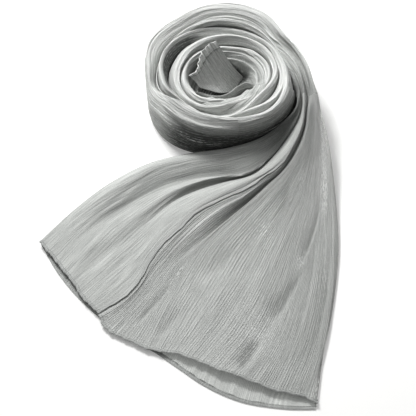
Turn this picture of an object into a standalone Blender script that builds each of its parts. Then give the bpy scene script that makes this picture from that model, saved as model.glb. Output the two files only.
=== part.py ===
"""A crepe scarf, gathered and wound into a coil, its loose tail folded in three and laid out flat.

The cut is one rectangle of crinkle crepe, 0.70 m by 2.00 m, hemmed all round. Each body is a stretch of
it that shows: five turns of the coil, the end turned up in its middle, the tail's layers and the hems.
Metres, +Z up. The origin is the centre of the scarf's plan, on the surface it rests on. The coil stands
on its folded edge at the far end (+Y), and the tail fans out towards the front (-Y).
The tables and functions work in mm on the plan's own drawing; add_body makes metres of them.
"""
import math

import bpy
import numpy as np

MM = 0.001                     # one millimetre in metres
PLAN_SHIFT = (19.4, -5.5)      # from the drawing's zero to the centre of the plan

# Walls, hems and gaps
GAP = 0.3                      # between neighbouring pieces of cloth
UNDER_WALL = 1.5               # under layer of the tail, its creases pressed flat
PANEL_WALL = 1.8               # each upper layer of the tail
END_WALL = 1.4                 # upturned end inside the coil
HEM_WIDTH = 4.0                # turned short hems
HEM_RISE = 0.5                 # how far a turned hem stands above its panel
EDGE_HEM_WIDTH = 2.6           # rolled long edge
EDGE_HEM_RISE = 1.4            # its middle, above the panel that it edges

# The tail
TAIL_LENGTH = 345              # along its folds, from the neck to the hem
FOLD_TURN = (0.9, -0.1)        # how far the right fold turns outside its edge, in x and y
FOLD_FOOT = 2.5                # height of that turned fold
COVER_BLEND = (0.02, 0.4)      # folds over which the right panel comes up from under the left one
NECK_END = 0.52                # part of the tail that is gathered thick down to the under layer
NECK_BLEND = 0.2
NECK_DEPTH = 60

# The coil
COIL_MIDDLE = (16, 138)
COIL_STEP = 9                  # degrees between its sections
TURN_ENDS = {"outer_turn": (-10, 285), "second_turn": (285, 648), "third_turn": (648, 1005),
             "fourth_turn": (1005, 1365), "inner_turn": (1365, 1732)}
WALL_END = 350                 # where the second turn passes behind the tail's neck, degrees
VALLEY_DEPTH = 3.0             # grooves between turns: least depth, and depth for each mm between folds
VALLEY_SLOPE = 1.4
VALLEY_FLOOR = 6.0             # no groove goes lower
RIM_HALF = 1.3                 # half width and drop of a turn's rounded top fold
RIM_DROP = 1.1
SIDE_PART = 0.62               # where a turn's side bends, between its groove and its fold
LAST_WALL = 6.5                # how far the last turn's inner side stands inside its fold
MIDDLE_FLOOR = 4.2             # height of the hidden layers in the coil's middle

# Outer turn, one row a section; angle in degrees, then (radius, height):
#  angle  foot    bulge        shoulder     crest        crease      fold          groove        inner fold
OUTER_TURN = (
    (-10, 103.0, (105.0, 18), (103.5, 33), (97.5, 43), (92.0, 37), (89.5, 42.0), (87.0, 38.0), (84.5, 43.0)),
    (0,    93.0, (96.0, 18), (96.0, 32), (93.0, 43), (90.0, 38), (88.0, 42.5), (84.0, 37.0), (80.0, 44.0)),
    (15,   91.0, (94.0, 18), (94.0, 34), (91.0, 44), (86.5, 37), (84.0, 42.0), (80.5, 37.0), (76.5, 43.0)),
    (30,   92.0, (94.5, 18), (94.5, 35), (91.0, 45), (84.5, 37), (81.0, 40.0), (78.5, 37.0), (76.0, 40.0)),
    (45,   95.0, (98.0, 18), (97.5, 35), (93.5, 45), (86.0, 40), (83.0, 38.5), (81.0, 37.5), (79.0, 37.0)),
    (60,  101.0, (104.0, 19), (103.5, 36), (99.0, 46), (91.0, 43), (87.5, 40.0), (85.0, 38.0), (83.0, 37.0)),
    (90,  104.0, (107.0, 20), (106.5, 37), (103.0, 46), (95.5, 44), (92.0, 41.0), (89.0, 39.0), (87.0, 38.0)),
    (120,  98.0, (101.0, 20), (100.5, 36), (97.0, 45), (91.0, 42), (88.0, 40.0), (86.0, 38.0), (84.5, 37.0)),
    (150,  93.5, (97.5, 18), (97.0, 33), (93.5, 41), (87.5, 39), (84.0, 37.0), (82.0, 35.5), (80.5, 34.0)),
    (165,  84.5, (87.5, 17), (87.0, 30), (85.0, 39), (81.7, 38), (79.7, 36.2), (78.3, 34.8), (77.2, 33.8)),
    (180,  81.0, (83.5, 16), (82.5, 28), (79.8, 37), (78.3, 36), (76.8, 34.5), (75.6, 33.5), (74.6, 33.0)),
    (195,  82.0, (83.5, 15), (80.0, 28), (71.0, 43), (70.0, 42), (69.2, 41.0), (68.5, 40.0), (67.8, 39.0)),
    (210,  81.0, (81.5, 14), (75.5, 29), (61.5, 49), (60.8, 49), (60.2, 48.5), (59.7, 48.0), (59.2, 47.0)),
    (225,  78.5, (79.0, 14), (72.0, 30), (56.8, 50), (56.2, 50), (55.6, 49.5), (55.1, 49.0), (54.7, 48.0)),
    (240,  75.0, (75.5, 14), (69.5, 30), (54.4, 50), (53.8, 50), (53.3, 49.5), (52.9, 49.0), (52.5, 48.0)),
    (255,  71.5, (72.5, 14), (68.0, 30), (54.2, 50), (53.6, 50), (53.1, 49.5), (52.7, 49.0), (52.3, 48.0)),
    (270,  68.5, (70.0, 14), (67.0, 30), (55.2, 50), (54.6, 50), (54.1, 49.5), (53.7, 49.0), (53.3, 48.0)),
    (285,  68.5, (70.0, 14), (68.0, 30), (58.5, 50), (57.9, 50), (57.3, 49.5), (56.8, 49.0), (56.3, 48.0)),
)
OUTER_PAIRS = 7                # (radius, height) pairs in a row

# Fold edges of the inner turns, wound on inwards: degrees from +X, radius, height
SECOND_TURN = (
    (285, 57.5, 50), (300, 61.5, 50), (315, 66.5, 50), (330, 68.5, 50), (345, 69.0, 50), (360, 69.3, 49),
    (390, 70.5, 48), (420, 77.0, 48), (450, 81.5, 48), (480, 80.0, 45), (510, 76.5, 38), (540, 71.5, 35),
    (555, 65.8, 40), (570, 57.2, 46), (585, 53.0, 46), (600, 50.9, 45), (630, 51.4, 45))
THIRD_TURN = (
    (648, 49.8, 46), (660, 50.5, 47), (675, 55.0, 48), (690, 60.5, 48), (705, 65.0, 48), (720, 66.5, 48),
    (740, 67.0, 47), (755, 69.5, 46), (780, 73.0, 42), (810, 75.0, 40), (840, 75.5, 44), (870, 73.5, 49),
    (885, 71.0, 50), (900, 67.3, 50), (915, 63.0, 50), (930, 54.8, 47), (945, 50.6, 44), (960, 48.3, 41),
    (990, 46.6, 39))
FOURTH_TURN = (
    (1005, 45.6, 39), (1020, 44.0, 41), (1038, 42.8, 43), (1054, 44.0, 44), (1065, 47.5, 44), (1080, 55.0, 44),
    (1095, 61.0, 44), (1110, 63.5, 43), (1127, 65.5, 42), (1146, 64.0, 43), (1170, 60.5, 45), (1200, 57.5, 46),
    (1230, 57.5, 46), (1260, 56.5, 45), (1287, 51.5, 45), (1301, 47.5, 45), (1320, 42.0, 45), (1340, 36.5, 44))
INNER_TURN = (
    (1365, 31.5, 43), (1380, 31.0, 42), (1397, 34.0, 41), (1414, 37.5, 40), (1428, 43.0, 40), (1448, 51.0, 40),
    (1468, 54.0, 40), (1490, 52.5, 40), (1515, 49.0, 39), (1540, 48.5, 37), (1570, 47.5, 35), (1600, 47.0, 37),
    (1624, 43.5, 41), (1647, 38.0, 42), (1675, 30.5, 42), (1705, 24.5, 41), (1732, 22.5, 34))
# Foot of the second turn where nothing lies outside it: degrees, radius, height of its upright part
SECOND_FOOT = (
    (285, 68.5, 6), (300, 72.5, 6), (308, 75.5, 7), (315, 77.5, 8), (325, 80.5, 10), (335, 81.0, 12),
    (343, 78.5, 15), (350, 76.2, 18))

# Folds of the tail, each a line from the neck to the hem through (x, y, height)
TAIL_FOLDS = {
    "left_rim": (
        (99, 123, 43), (97.5, 112, 40), (94.5, 102, 38), (84.5, 91, 34), (64, 77, 26), (24, 66.5, 15),
        (-12, 65, 8), (-57, 55, 6.2), (-105, 27, 5.6), (-141, -6, 5.5), (-176, -46, 5.5)),
    "soft_valley": (
        (99.7, 123, 42), (98.5, 108, 37), (86, 84, 28), (45, 54, 15.5), (-19, 44, 8.5), (-52, 33, 6.6),
        (-83, 13, 5.6), (-120, -14, 5.5), (-164.5, -61.5, 5.5)),
    "light_ridge": (
        (100.4, 123, 41), (100, 105, 36), (86, 76, 28), (42, 37, 18.5), (-9, 32, 14.5), (-41, 21, 12),
        (-72, 3, 9), (-104, -22, 6.8), (-150, -80, 5.5)),
    "dark_valley": (
        (101.2, 123, 38), (101, 103, 33), (93, 85, 28), (79, 66, 23), (62, 48, 17), (50, 38, 13.5),
        (13, 28, 9.8), (-9, 20, 8), (-30, 9, 6.8), (-61, -19, 5.8), (-88, -47, 5.6), (-136.5, -99.5, 5.5)),
    "left_flat": (
        (102.6, 122.8, 39.5), (102, 102, 36), (97, 81, 32), (84, 57, 27), (56, 33, 18), (24, 19, 14),
        (-4, 4, 11.5), (-44, -24, 8.2), (-70, -56, 6.5), (-126, -116, 5.6)),
    "long_edge": (
        (104, 122.5, 42), (104, 100, 38), (102, 86, 35), (91, 59, 28), (84, 47.5, 24), (73, 36, 20.5),
        (57, 26, 16.5), (42, 15.5, 13.8), (15, 3, 11.8), (-8, -10, 10.2), (-31, -33, 8.6), (-58, -66, 7),
        (-69, -91, 5.8), (-90, -115, 5.5), (-112, -130, 5.5)),
    "narrow_ridge": (
        (105.2, 122.3, 40), (105.2, 100, 35), (103, 84, 31), (92.3, 59, 25), (76, 34.5, 17.5), (58, 22, 13.5),
        (38, 7, 10.8), (12, -8, 8.6), (-22, -38, 6.2), (-52, -76, 4.6), (-84, -123, 4.0), (-106.5, -144, 4.0)),
    "deep_valley": (
        (106.6, 122, 37), (106, 99, 32), (104.5, 86, 29), (94, 59, 22.5), (87, 46.5, 18.5), (77, 34, 15),
        (66, 24.5, 12), (50, 9, 8.6), (29, -11, 6.2), (2, -36, 4.8), (-26, -65, 4.2), (-50, -102, 3.9),
        (-88, -157, 4.0)),
    "panel_ridge": (
        (110, 121.4, 42), (109.5, 104, 39.5), (108, 89, 36), (102, 64, 29.5), (85, 37, 21), (57, 9, 13),
        (32, -15, 8.6), (0, -50, 6.2), (-28, -100, 5.0), (-60, -170, 4.6)),
    "panel_crest": (
        (112, 121, 43), (113, 105, 40), (112.5, 85, 35), (108, 58, 27.5), (97, 27, 18), (80, -5, 11),
        (56, -44, 7), (24, -104, 5.4), (-4, -150, 6.0), (-24, -181, 9.5)),
    "panel_middle": (
        (114, 120.7, 42), (117, 100, 36), (117.5, 75, 29.5), (115, 45, 20.5), (108, 5, 12), (94, -45, 7),
        (75, -105, 5.2), (50, -160, 6.5), (20, -202, 14)),
    "panel_right": (
        (115.6, 120.5, 40), (119.5, 100, 33), (122, 75, 25.5), (122.5, 45, 17), (120.5, 0, 9.5), (114, -50, 6),
        (103, -110, 5), (84, -170, 5.5), (62, -217, 10)),
    "right_slope": (
        (117, 120.3, 36), (122, 100, 27.5), (126.5, 72, 19), (130, 35, 11), (131, -8, 6.8), (129.5, -55, 5.2),
        (124, -115, 4.6), (111, -175, 4.6), (94, -224.5, 7)),
    "right_edge": (
        (118, 120.1, 30), (122.4, 108, 25), (126.4, 95, 21), (130.6, 69, 14), (134.4, 29, 7.6),
        (136.2, -12, 4.4), (135.6, -54, 3.6), (131, -95, 3.4), (124, -136, 3.4), (115, -175, 3.4), (105.5, -228.6, 4.6)),
}
EDGE_FOLD = list(TAIL_FOLDS).index("long_edge")
RIGHT_FOOT = len(TAIL_FOLDS)   # the folds' count, for the right fold's turned foot

# Under layer of the tail: left and right ends of each row, x and y, from the coil to the hem
UNDER_ROWS = (((-8, 60), (124, 86)), ((-40, 56), (129.5, 68)), ((-58, 51), (132, 45)), ((-104, 24), (134.5, 5)),
              ((-139, -8), (134, -45)), ((-155, -25), (130, -92)), ((-165, -36), (123.5, -132)),
              ((-170, -41), (115, -172)))
UNDER_END = 0.94               # part of the rows' length where the hem begins
# Hem line of the under layer, left to right, x and y
UNDER_HEM = ((-175.5, -45.5), (-156.5, -79.5), (-137, -105.5), (-112, -131.5), (-86, -154.5), (-57, -170),
             (-28, -191), (-8, -206), (14, -218.5), (34, -226.5), (62, -232), (82, -234), (106, -234))

# Upturned end in the middle of the coil, (x, y, height) along each line
END_HEM = ((9, 186, 50), (2, 184, 48), (-3, 180, 46), (-7, 175, 44), (-9, 169, 42.5), (-10.5, 161, 41),
           (-12, 154, 39.5), (-16, 150.5, 38.5), (-21, 148.5, 37))
END_FALL = ((26, 171, 28), (19, 166, 23), (13, 162, 20), (8, 158, 19), (4, 155, 19), (0, 152, 21),
            (-4, 149, 24.5), (-9, 147, 28), (-14, 145, 31))
END_TOE = ((41, 165, 10), (35, 157, 7), (29, 151, 6), (22, 147, 8), (16, 144, 11), (10, 142, 15), (4, 141, 19),
           (-3, 140.5, 23), (-9, 140, 27))
END_HEM_PART = 0.08            # part of the way from its hem line to its toe that the hem takes
# Loose fold that crosses the middle of the coil: (x, y, height) along its edge
CENTRE_FOLD = ((-14, 132, 29), (-8, 131.5, 28), (2, 129, 27), (13, 128, 27), (24, 132, 28), (33, 139, 30),
               (43, 143, 31), (50, 141, 31), (53, 138.5, 31))
# Its section: distance to the side, and part of the height
CENTRE_FOLD_SECTION = ((4.2, 0), (3.4, 0.6), (1.6, 0.94), (0, 1), (-1.6, 0.94), (-3.4, 0.6), (-4.2, 0))

CLOTH_SHADES = {"coil": (0.44, 0.45, 0.44), "tail": (0.48, 0.49, 0.48), "hem": (0.40, 0.41, 0.40)}
CLOTH_ROUGHNESS = 0.72


def clamp(value):
    return min(max(value, 0.0), 1.0)


def spline(rows, x):
    """Smooth value of the rows' columns at x; a row is (x, value, ...)."""
    rows = np.asarray(rows, float)
    xs, ys = rows[:, 0], rows[:, 1:]
    slopes = np.gradient(ys, xs, axis=0)
    i = int(np.clip(np.searchsorted(xs, x) - 1, 0, len(xs) - 2))
    h = xs[i + 1] - xs[i]
    t = clamp((x - xs[i]) / h)
    return ((2 * t**3 - 3 * t**2 + 1) * ys[i] + (t**3 - 2 * t**2 + t) * h * slopes[i]
            + (-2 * t**3 + 3 * t**2) * ys[i + 1] + (t**3 - t**2) * h * slopes[i + 1])


def path_rows(points):
    """Rows for spline() from points on a line: the part of the length, then the point."""
    points = np.asarray(points, float)
    steps = np.linalg.norm(np.diff(points, axis=0), axis=1)
    part = np.concatenate(([0], np.cumsum(steps))) / steps.sum()
    return np.column_stack((part, points))


def stations(first, last, step):
    """Evenly spaced values from first to last, no further apart than step."""
    count = max(1, math.ceil((last - first) / step - 1e-6))
    return [first + (last - first) * i / count for i in range(count + 1)]


def ring_faces(count, size, layered):
    """Faces between count rings of size points, with the two end caps.

    Layered rings get the same diagonal above and below, and caps of quads from layer to layer.
    """
    faces = []
    for i in range(count - 1):
        for j in range(size):
            k = (j + 1) % size
            a, b, c, d = i * size + j, i * size + k, (i + 1) * size + k, (i + 1) * size + j
            if not layered:
                faces.append((a, b, c, d))
            elif j < size // 2:
                faces += [(a, b, c), (a, c, d)]
            else:
                faces += [(a, b, d), (b, c, d)]
    last = (count - 1) * size
    if not layered:
        return faces + [tuple(range(size - 1, -1, -1)), tuple(last + j for j in range(size))]
    for j in range(size // 2 - 1):
        end = (j, j + 1, size - 2 - j, size - 1 - j)
        faces += [end[::-1], tuple(last + k for k in end)]
    return faces


def signed_volume(mesh):
    """Six times the mesh's volume, negative where its faces point in."""
    mesh.calc_loop_triangles()
    total = 0.0
    for tri in mesh.loop_triangles:
        a, b, c = (np.array(mesh.vertices[v].co) for v in tri.vertices)
        total += np.dot(a, np.cross(b, c))
    return total


def cloth_material(name, shade):
    """Plain matt crepe in one of the cloth's shades."""
    cloth = bpy.data.materials.new(name)
    cloth.use_nodes = True
    shader = cloth.node_tree.nodes["Principled BSDF"]
    shader.inputs["Base Color"].default_value = (*CLOTH_SHADES[shade], 1)
    shader.inputs["Roughness"].default_value = CLOTH_ROUGHNESS
    shader.inputs["Metallic"].default_value = 0.0
    cloth.diffuse_color = (*CLOTH_SHADES[shade], 1)
    return cloth


def add_body(name, rings, shade, layered=False):
    """One closed body through rings of points, each ring a closed outline.

    A layered ring runs along its upper side and back along its lower side, point under point.
    """
    rings = np.asarray(rings, float)
    count, size = rings.shape[:2]
    verts = (rings.reshape(-1, 3) + (*PLAN_SHIFT, 0)) * MM
    mesh = bpy.data.meshes.new(name)
    mesh.from_pydata([tuple(v) for v in verts], [], ring_faces(count, size, layered))
    if signed_volume(mesh) < 0:
        mesh.flip_normals()
    mesh.shade_smooth()
    mesh.set_sharp_from_angle(angle=math.radians(50))
    mesh.materials.append(cloth_material(name + "_crepe", shade))
    body = bpy.data.objects.new(name, mesh)
    bpy.context.collection.objects.link(body)


def coil_point(degrees, radius, height):
    angle = math.radians(degrees)
    return (COIL_MIDDLE[0] + radius * math.cos(angle), COIL_MIDDLE[1] + radius * math.sin(angle), height)


OUTER_ROWS = [(row[0], row[1], *sum(row[2:], ())) for row in OUTER_TURN]
EDGE_ROWS = SECOND_TURN + THIRD_TURN + FOURTH_TURN + INNER_TURN


def fold_edge(turned):
    """Radius and height of the wound cloth's top fold after turning so many degrees."""
    if turned < SECOND_TURN[0][0]:
        return spline(OUTER_ROWS, turned)[-2:]
    return spline(EDGE_ROWS, turned)


def valley(turned):
    """Radius and height of the groove on the outer side of the turn."""
    outer_r, outer_z = fold_edge(turned - 360)
    inner_r, inner_z = fold_edge(turned)
    depth = VALLEY_DEPTH + VALLEY_SLOPE * (outer_r - inner_r)
    return 0.5 * (outer_r + inner_r), max(VALLEY_FLOOR, min(outer_z, inner_z) - depth)


def outer_section(turned):
    """Section of the outer turn: foot, bulge, crest, the neck's folds and the inner side."""
    foot, *rest = spline(OUTER_ROWS, turned)
    pairs = [tuple(rest[2 * k:2 * k + 2]) for k in range(OUTER_PAIRS)]
    groove_r, groove_z = valley(turned + 360)
    groove_r += GAP / 2
    return [(foot, 0), *pairs, (groove_r, groove_z), (groove_r, 0)]


def inner_section(turned):
    """Section of one of the inner turns, standing between its two grooves."""
    edge_r, edge_z = fold_edge(turned)
    if turned < WALL_END:
        out_r, out_z = spline(SECOND_FOOT, turned)
    else:
        out_r, out_z = valley(turned)
        out_r -= GAP / 2
    if turned + 360 <= INNER_TURN[-1][0]:
        in_r, in_z = valley(turned + 360)
        in_r += GAP / 2
    else:
        in_r, in_z = edge_r - LAST_WALL, VALLEY_FLOOR
    out_room, in_room = out_r - edge_r, edge_r - in_r
    half = min(RIM_HALF, 0.4 * out_room, 0.4 * in_room)
    return [(out_r, 0), (out_r, out_z), (edge_r + SIDE_PART * out_room, out_z + SIDE_PART * (edge_z - out_z)),
            (edge_r + half, edge_z - RIM_DROP), (edge_r, edge_z), (edge_r - half, edge_z - RIM_DROP),
            (edge_r - SIDE_PART * in_room, in_z + SIDE_PART * (edge_z - in_z)), (in_r, in_z), (in_r, 0)]


def add_turn(name):
    """One turn of the coil, its two ends drawn back by half a gap."""
    first, last = TURN_ENDS[name]
    section = outer_section if name == "outer_turn" else inner_section
    count = max(2, round((last - first) / COIL_STEP))
    rings = []
    for i in range(count + 1):
        turned = first + (last - first) * i / count
        points = section(turned)
        middle = 0.5 * (points[0][0] + points[-1][0])
        pull = math.degrees(GAP / 2 / middle) * ((i == 0) - (i == count))
        rings.append([coil_point(turned + pull, r, z) for r, z in points])
    add_body(name, rings, "coil")


FOLD_LINES = [path_rows(points) for points in TAIL_FOLDS.values()]


def tail_point(across, along):
    """Point on the tail's visible surface; across counts the folds, along runs from neck to hem."""
    lines = [spline(line, along) for line in FOLD_LINES]
    x, y, _ = lines[-1]
    lines.append((x + FOLD_TURN[0], y + FOLD_TURN[1], FOLD_FOOT))
    return spline([(i, *p) for i, p in enumerate(lines)], across)


def layer(name, across, along, top, bottom, shade):
    """A layer of the tail between two height rules, both over the same plan points."""
    rings = []
    for v in along:
        upper, lower = [], []
        for u in across:
            x, y, z = tail_point(u, v)
            upper.append((x, y, top(u, v, z)))
            lower.append((x, y, bottom(u, v, z)))
        rings.append(upper + lower[::-1])
    add_body(name, rings, shade, layered=True)


def left_top(u, v, z):
    return z


def left_bottom(u, v, z):
    return z - PANEL_WALL


def left_hem_top(u, v, z):
    return z + HEM_RISE


def right_top(u, v, z):
    """The right panel runs below the left one, and comes up to the visible surface beside it."""
    t = clamp((u - EDGE_FOLD - COVER_BLEND[0]) / COVER_BLEND[1])
    return z - (PANEL_WALL + GAP) * (1 - t * t * (3 - 2 * t))


def right_bottom(u, v, z):
    """Thin wall over most of the tail; near the neck the gathered layers fill it down to the under layer."""
    t = clamp((NECK_END - v) / NECK_BLEND)
    return max(UNDER_WALL + GAP, right_top(u, v, z) - PANEL_WALL - NECK_DEPTH * t * t)


def right_hem_top(u, v, z):
    beside = u > EDGE_FOLD + COVER_BLEND[1]
    return right_top(u, v, z) + (HEM_RISE if beside else 0)


def add_edge_hem(last):
    """The rolled long edge, lying on the left panel's border down the open part of the tail."""
    rings = []
    for v in stations(0.34, last, 0.035):
        inner, border = tail_point(EDGE_FOLD - 1, v), tail_point(EDGE_FOLD, v)
        part = EDGE_HEM_WIDTH / math.hypot(*(border - inner)[:2])
        ring = []
        for inwards, lift in ((1, GAP), (1, 0.9), (0.5, EDGE_HEM_RISE), (0, 0.9), (0, GAP)):
            x, y, z = tail_point(EDGE_FOLD - inwards * part, v)
            ring.append((x, y, z + lift))
        rings.append(ring)
    add_body("long_edge_hem", rings, "hem")


def add_tail():
    """The tail's two upper panels, folded one over the other, and their hems."""
    hem_part = HEM_WIDTH / TAIL_LENGTH
    gap_part = GAP / TAIL_LENGTH
    panel_along = stations(0.0, 0.3, 0.025) + stations(0.3, 1 - hem_part - gap_part, 0.048)[1:]
    hem_along = (1 - hem_part, 1 - 0.5 * hem_part, 1.0)
    left = stations(0, EDGE_FOLD, 0.5)
    full = left + [EDGE_FOLD + 0.42] + stations(EDGE_FOLD + 1, RIGHT_FOOT - 1, 0.5) + [RIGHT_FOOT]
    layer("tail_left_panel", left, panel_along, left_top, left_bottom, "tail")
    layer("tail_right_panel", full, panel_along, right_top, right_bottom, "tail")
    layer("left_hem", left, hem_along, left_hem_top, left_bottom, "hem")
    layer("right_hem", full, hem_along, right_hem_top, right_bottom, "hem")
    add_edge_hem(1 - hem_part - 2 * gap_part)


def flat_rings(lines, height):
    """Rings of a flat layer on the surface, one for each line of plan points."""
    return [[(x, y, height) for x, y in line] + [(x, y, 0) for x, y in line[::-1]] for line in lines]


def towards(start, end, distance):
    return start + (end - start) / np.linalg.norm(end - start) * distance


def add_under_layer():
    """The tail's lowest layer, flat on the surface, and its hem."""
    hem = path_rows(UNDER_HEM)
    left_line, right_line = (path_rows([row[side] for row in UNDER_ROWS]) for side in (0, 1))
    across = stations(0, 1, 1 / 16)
    rows = []
    for v in stations(0, UNDER_END, UNDER_END / 10):
        left, right = spline(left_line, v), spline(right_line, v)
        rows.append([left + (right - left) * u for u in across])
    rim = [spline(hem, u) for u in across]
    inner = [towards(point, above, HEM_WIDTH) for point, above in zip(rim, rows[-1])]
    last = [towards(point, above, GAP) for point, above in zip(inner, rows[-1])]
    add_body("tail_under_layer", flat_rings(rows[:-1] + [last], UNDER_WALL), "tail", layered=True)
    add_body("under_hem", flat_rings([inner, rim], UNDER_WALL), "hem", layered=True)


END_LINES = [path_rows(points) for points in (END_HEM, END_FALL, END_TOE)]


def end_point(u, v):
    """Point on the upturned end: u along its hem, v from the hem line to the toe."""
    return spline([(0.5 * i, *spline(line, u)) for i, line in enumerate(END_LINES)], v)


def end_rings(values, thick, lift):
    """Rings of the upturned end at the values of v, a wall thick along its normals."""
    near = 0.02
    rings = []
    for v in values:
        upper, lower = [], []
        for u in stations(0, 1, 1 / 12):
            side = end_point(min(u + near, 1), v) - end_point(max(u - near, 0), v)
            down = end_point(u, min(v + near, 1)) - end_point(u, max(v - near, 0))
            normal = np.cross(down, side)
            normal *= math.copysign(1, normal[2]) / np.linalg.norm(normal)
            upper.append(end_point(u, v) + normal * lift)
            lower.append(end_point(u, v) + normal * (lift - thick))
        rings.append(upper + lower[::-1])
    return rings


def add_centre_end():
    """The scarf's short end, turned up in the middle of the coil, with its thicker hem."""
    cloth = end_rings(stations(END_HEM_PART + 0.01, 1, 0.13), END_WALL, 0)
    hem = end_rings((0, 0.5 * END_HEM_PART, END_HEM_PART), END_WALL + 0.8, 0.4)
    add_body("centre_end", cloth, "coil", layered=True)
    add_body("centre_hem", hem, "hem", layered=True)


def add_centre_layers():
    """Hidden layers that close the coil's middle, low inside the inner turn."""
    last = INNER_TURN[-1][0]
    inset = LAST_WALL + 2 * GAP
    outline = [coil_point(turned, fold_edge(turned)[0] - inset, 0)
               for turned in stations(last - 357, last, 7.5)]
    rings = [[(x, y, height) for x, y, _ in outline] for height in (0, MIDDLE_FLOOR)]
    add_body("centre_layers", rings, "coil")


def add_centre_fold():
    """The loose fold across the coil's middle, standing on the hidden layers."""
    line = path_rows(CENTRE_FOLD)
    low = MIDDLE_FLOOR + GAP
    rings = []
    for v in stations(0, 1, 1 / 12):
        x, y, z = spline(line, v)
        run = (spline(line, min(v + 0.02, 1)) - spline(line, max(v - 0.02, 0)))[:2]
        across_x, across_y = -run[1] / np.linalg.norm(run), run[0] / np.linalg.norm(run)
        rings.append([(x + across_x * reach, y + across_y * reach, low + (z - low) * part)
                      for reach, part in CENTRE_FOLD_SECTION])
    add_body("centre_fold", rings, "coil")


for old in list(bpy.data.objects):
    bpy.data.objects.remove(old, do_unlink=True)
for turn_name in TURN_ENDS:
    add_turn(turn_name)
add_tail()
add_under_layer()
add_centre_layers()
add_centre_end()
add_centre_fold()
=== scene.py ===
import math

import bpy
import numpy as np
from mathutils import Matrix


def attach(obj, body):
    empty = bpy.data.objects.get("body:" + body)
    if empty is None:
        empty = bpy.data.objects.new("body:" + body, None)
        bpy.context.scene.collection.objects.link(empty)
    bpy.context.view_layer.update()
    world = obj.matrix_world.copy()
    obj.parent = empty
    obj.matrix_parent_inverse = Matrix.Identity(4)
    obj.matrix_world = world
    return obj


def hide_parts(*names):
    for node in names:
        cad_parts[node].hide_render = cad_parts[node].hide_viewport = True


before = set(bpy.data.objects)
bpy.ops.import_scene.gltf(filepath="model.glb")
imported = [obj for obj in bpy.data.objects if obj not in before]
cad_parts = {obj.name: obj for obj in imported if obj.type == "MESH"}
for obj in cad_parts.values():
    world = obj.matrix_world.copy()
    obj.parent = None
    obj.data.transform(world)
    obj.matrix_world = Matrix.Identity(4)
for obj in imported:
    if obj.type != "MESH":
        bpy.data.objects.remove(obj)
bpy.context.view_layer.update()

mm = 0.001
planShift = np.array((0.0194, -0.0055, 0.0))   # the drawing's zero, seen from the plan's centre
coilMiddle = (16.0, 138.0)                     # mm in the drawing


# small tools

def smoothRows(xs, ys, at):
    # smooth values through rows of numbers, at many places at once
    xs, ys, at = np.asarray(xs, float), np.asarray(ys, float), np.atleast_1d(np.asarray(at, float))
    slopes = np.gradient(ys, xs, axis=0)
    i = np.clip(np.searchsorted(xs, at) - 1, 0, len(xs) - 2)
    h = (xs[i + 1] - xs[i])[:, None]
    t = np.clip((at - xs[i]) / h[:, 0], 0, 1)[:, None]
    return ((2 * t**3 - 3 * t**2 + 1) * ys[i] + (t**3 - 2 * t**2 + t) * h * slopes[i]
            + (-2 * t**3 + 3 * t**2) * ys[i + 1] + (t**3 - t**2) * h * slopes[i + 1])


def acrossRows(lines, marks, at):
    # lines: stations x marks x values, smoothed across the marks at the places in at
    marks, at = np.asarray(marks, float), np.asarray(at, float)
    slopes = np.gradient(lines, marks, axis=1)
    i = np.clip(np.searchsorted(marks, at) - 1, 0, len(marks) - 2)
    h = (marks[i + 1] - marks[i])[None, :, None]
    t = np.clip((at - marks[i]) / (marks[i + 1] - marks[i]), 0, 1)[None, :, None]
    return ((2 * t**3 - 3 * t**2 + 1) * lines[:, i] + (t**3 - 2 * t**2 + t) * h * slopes[:, i]
            + (-2 * t**3 + 3 * t**2) * lines[:, i + 1] + (t**3 - t**2) * h * slopes[:, i + 1])


def pathRows(points):
    points = np.asarray(points, float)
    steps = np.linalg.norm(np.diff(points[:, :3], axis=0), axis=1)
    return np.concatenate(([0], np.cumsum(steps))) / steps.sum(), points


def ease(x, low, high):
    t = np.clip((np.asarray(x, float) - low) / (high - low), 0, 1)
    return t * t * (3 - 2 * t)


def gridNormals(p):
    # unit normals of a grid of points, rows along the cloth, columns across it
    along = np.gradient(p, axis=0)
    across = np.gradient(p, axis=1)
    n = np.cross(along, across)
    return n / np.maximum(np.linalg.norm(n, axis=2, keepdims=True), 1e-9)


def newPiece(name, verts, faces, uv, material):
    mesh = bpy.data.meshes.new(name)
    mesh.from_pydata(np.asarray(verts).tolist(), [], faces)
    layer = mesh.uv_layers.new(name="cloth")
    loops = np.empty(len(mesh.loops), np.int32)
    mesh.loops.foreach_get("vertex_index", loops)
    layer.data.foreach_set("uv", np.asarray(uv, np.float32)[loops].ravel())
    mesh.materials.append(material)
    mesh.shade_smooth()
    piece = bpy.data.objects.new(name, mesh)
    bpy.context.collection.objects.link(piece)
    return piece


def sheetFaces(rows, cols):
    # closed thin cloth: the top grid, the same grid below it, and the rims between them
    n = rows * cols
    faces = []
    for i in range(rows - 1):
        a = i * cols
        b = a + cols - 1
        faces += [(a + j, a + cols + j, a + cols + j + 1, a + j + 1) for j in range(cols - 1)]
        faces += [(n + a + j, n + a + j + 1, n + a + cols + j + 1, n + a + cols + j) for j in range(cols - 1)]
        faces.append((a, n + a, n + a + cols, a + cols))
        faces.append((b, b + cols, n + b + cols, n + b))
    for j in range(cols - 1):
        c = (rows - 1) * cols + j
        faces.append((j, j + 1, n + j + 1, n + j))
        faces.append((c, n + c, n + c + 1, c + 1))
    return faces


def rollFaces(rows, cols):
    # closed roll of cloth: rings of points, capped at both ends
    faces = []
    for i in range(rows - 1):
        a = i * cols
        faces += [(a + j, a + (j + 1) % cols, a + cols + (j + 1) % cols, a + cols + j) for j in range(cols)]
    faces.append(tuple(range(cols - 1, -1, -1)))
    faces.append(tuple((rows - 1) * cols + j for j in range(cols)))
    return faces


def twice(values):
    # the same values for a sheet's top and for the wall below it
    return None if values is None else np.concatenate((values.ravel(), values.ravel()))


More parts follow.
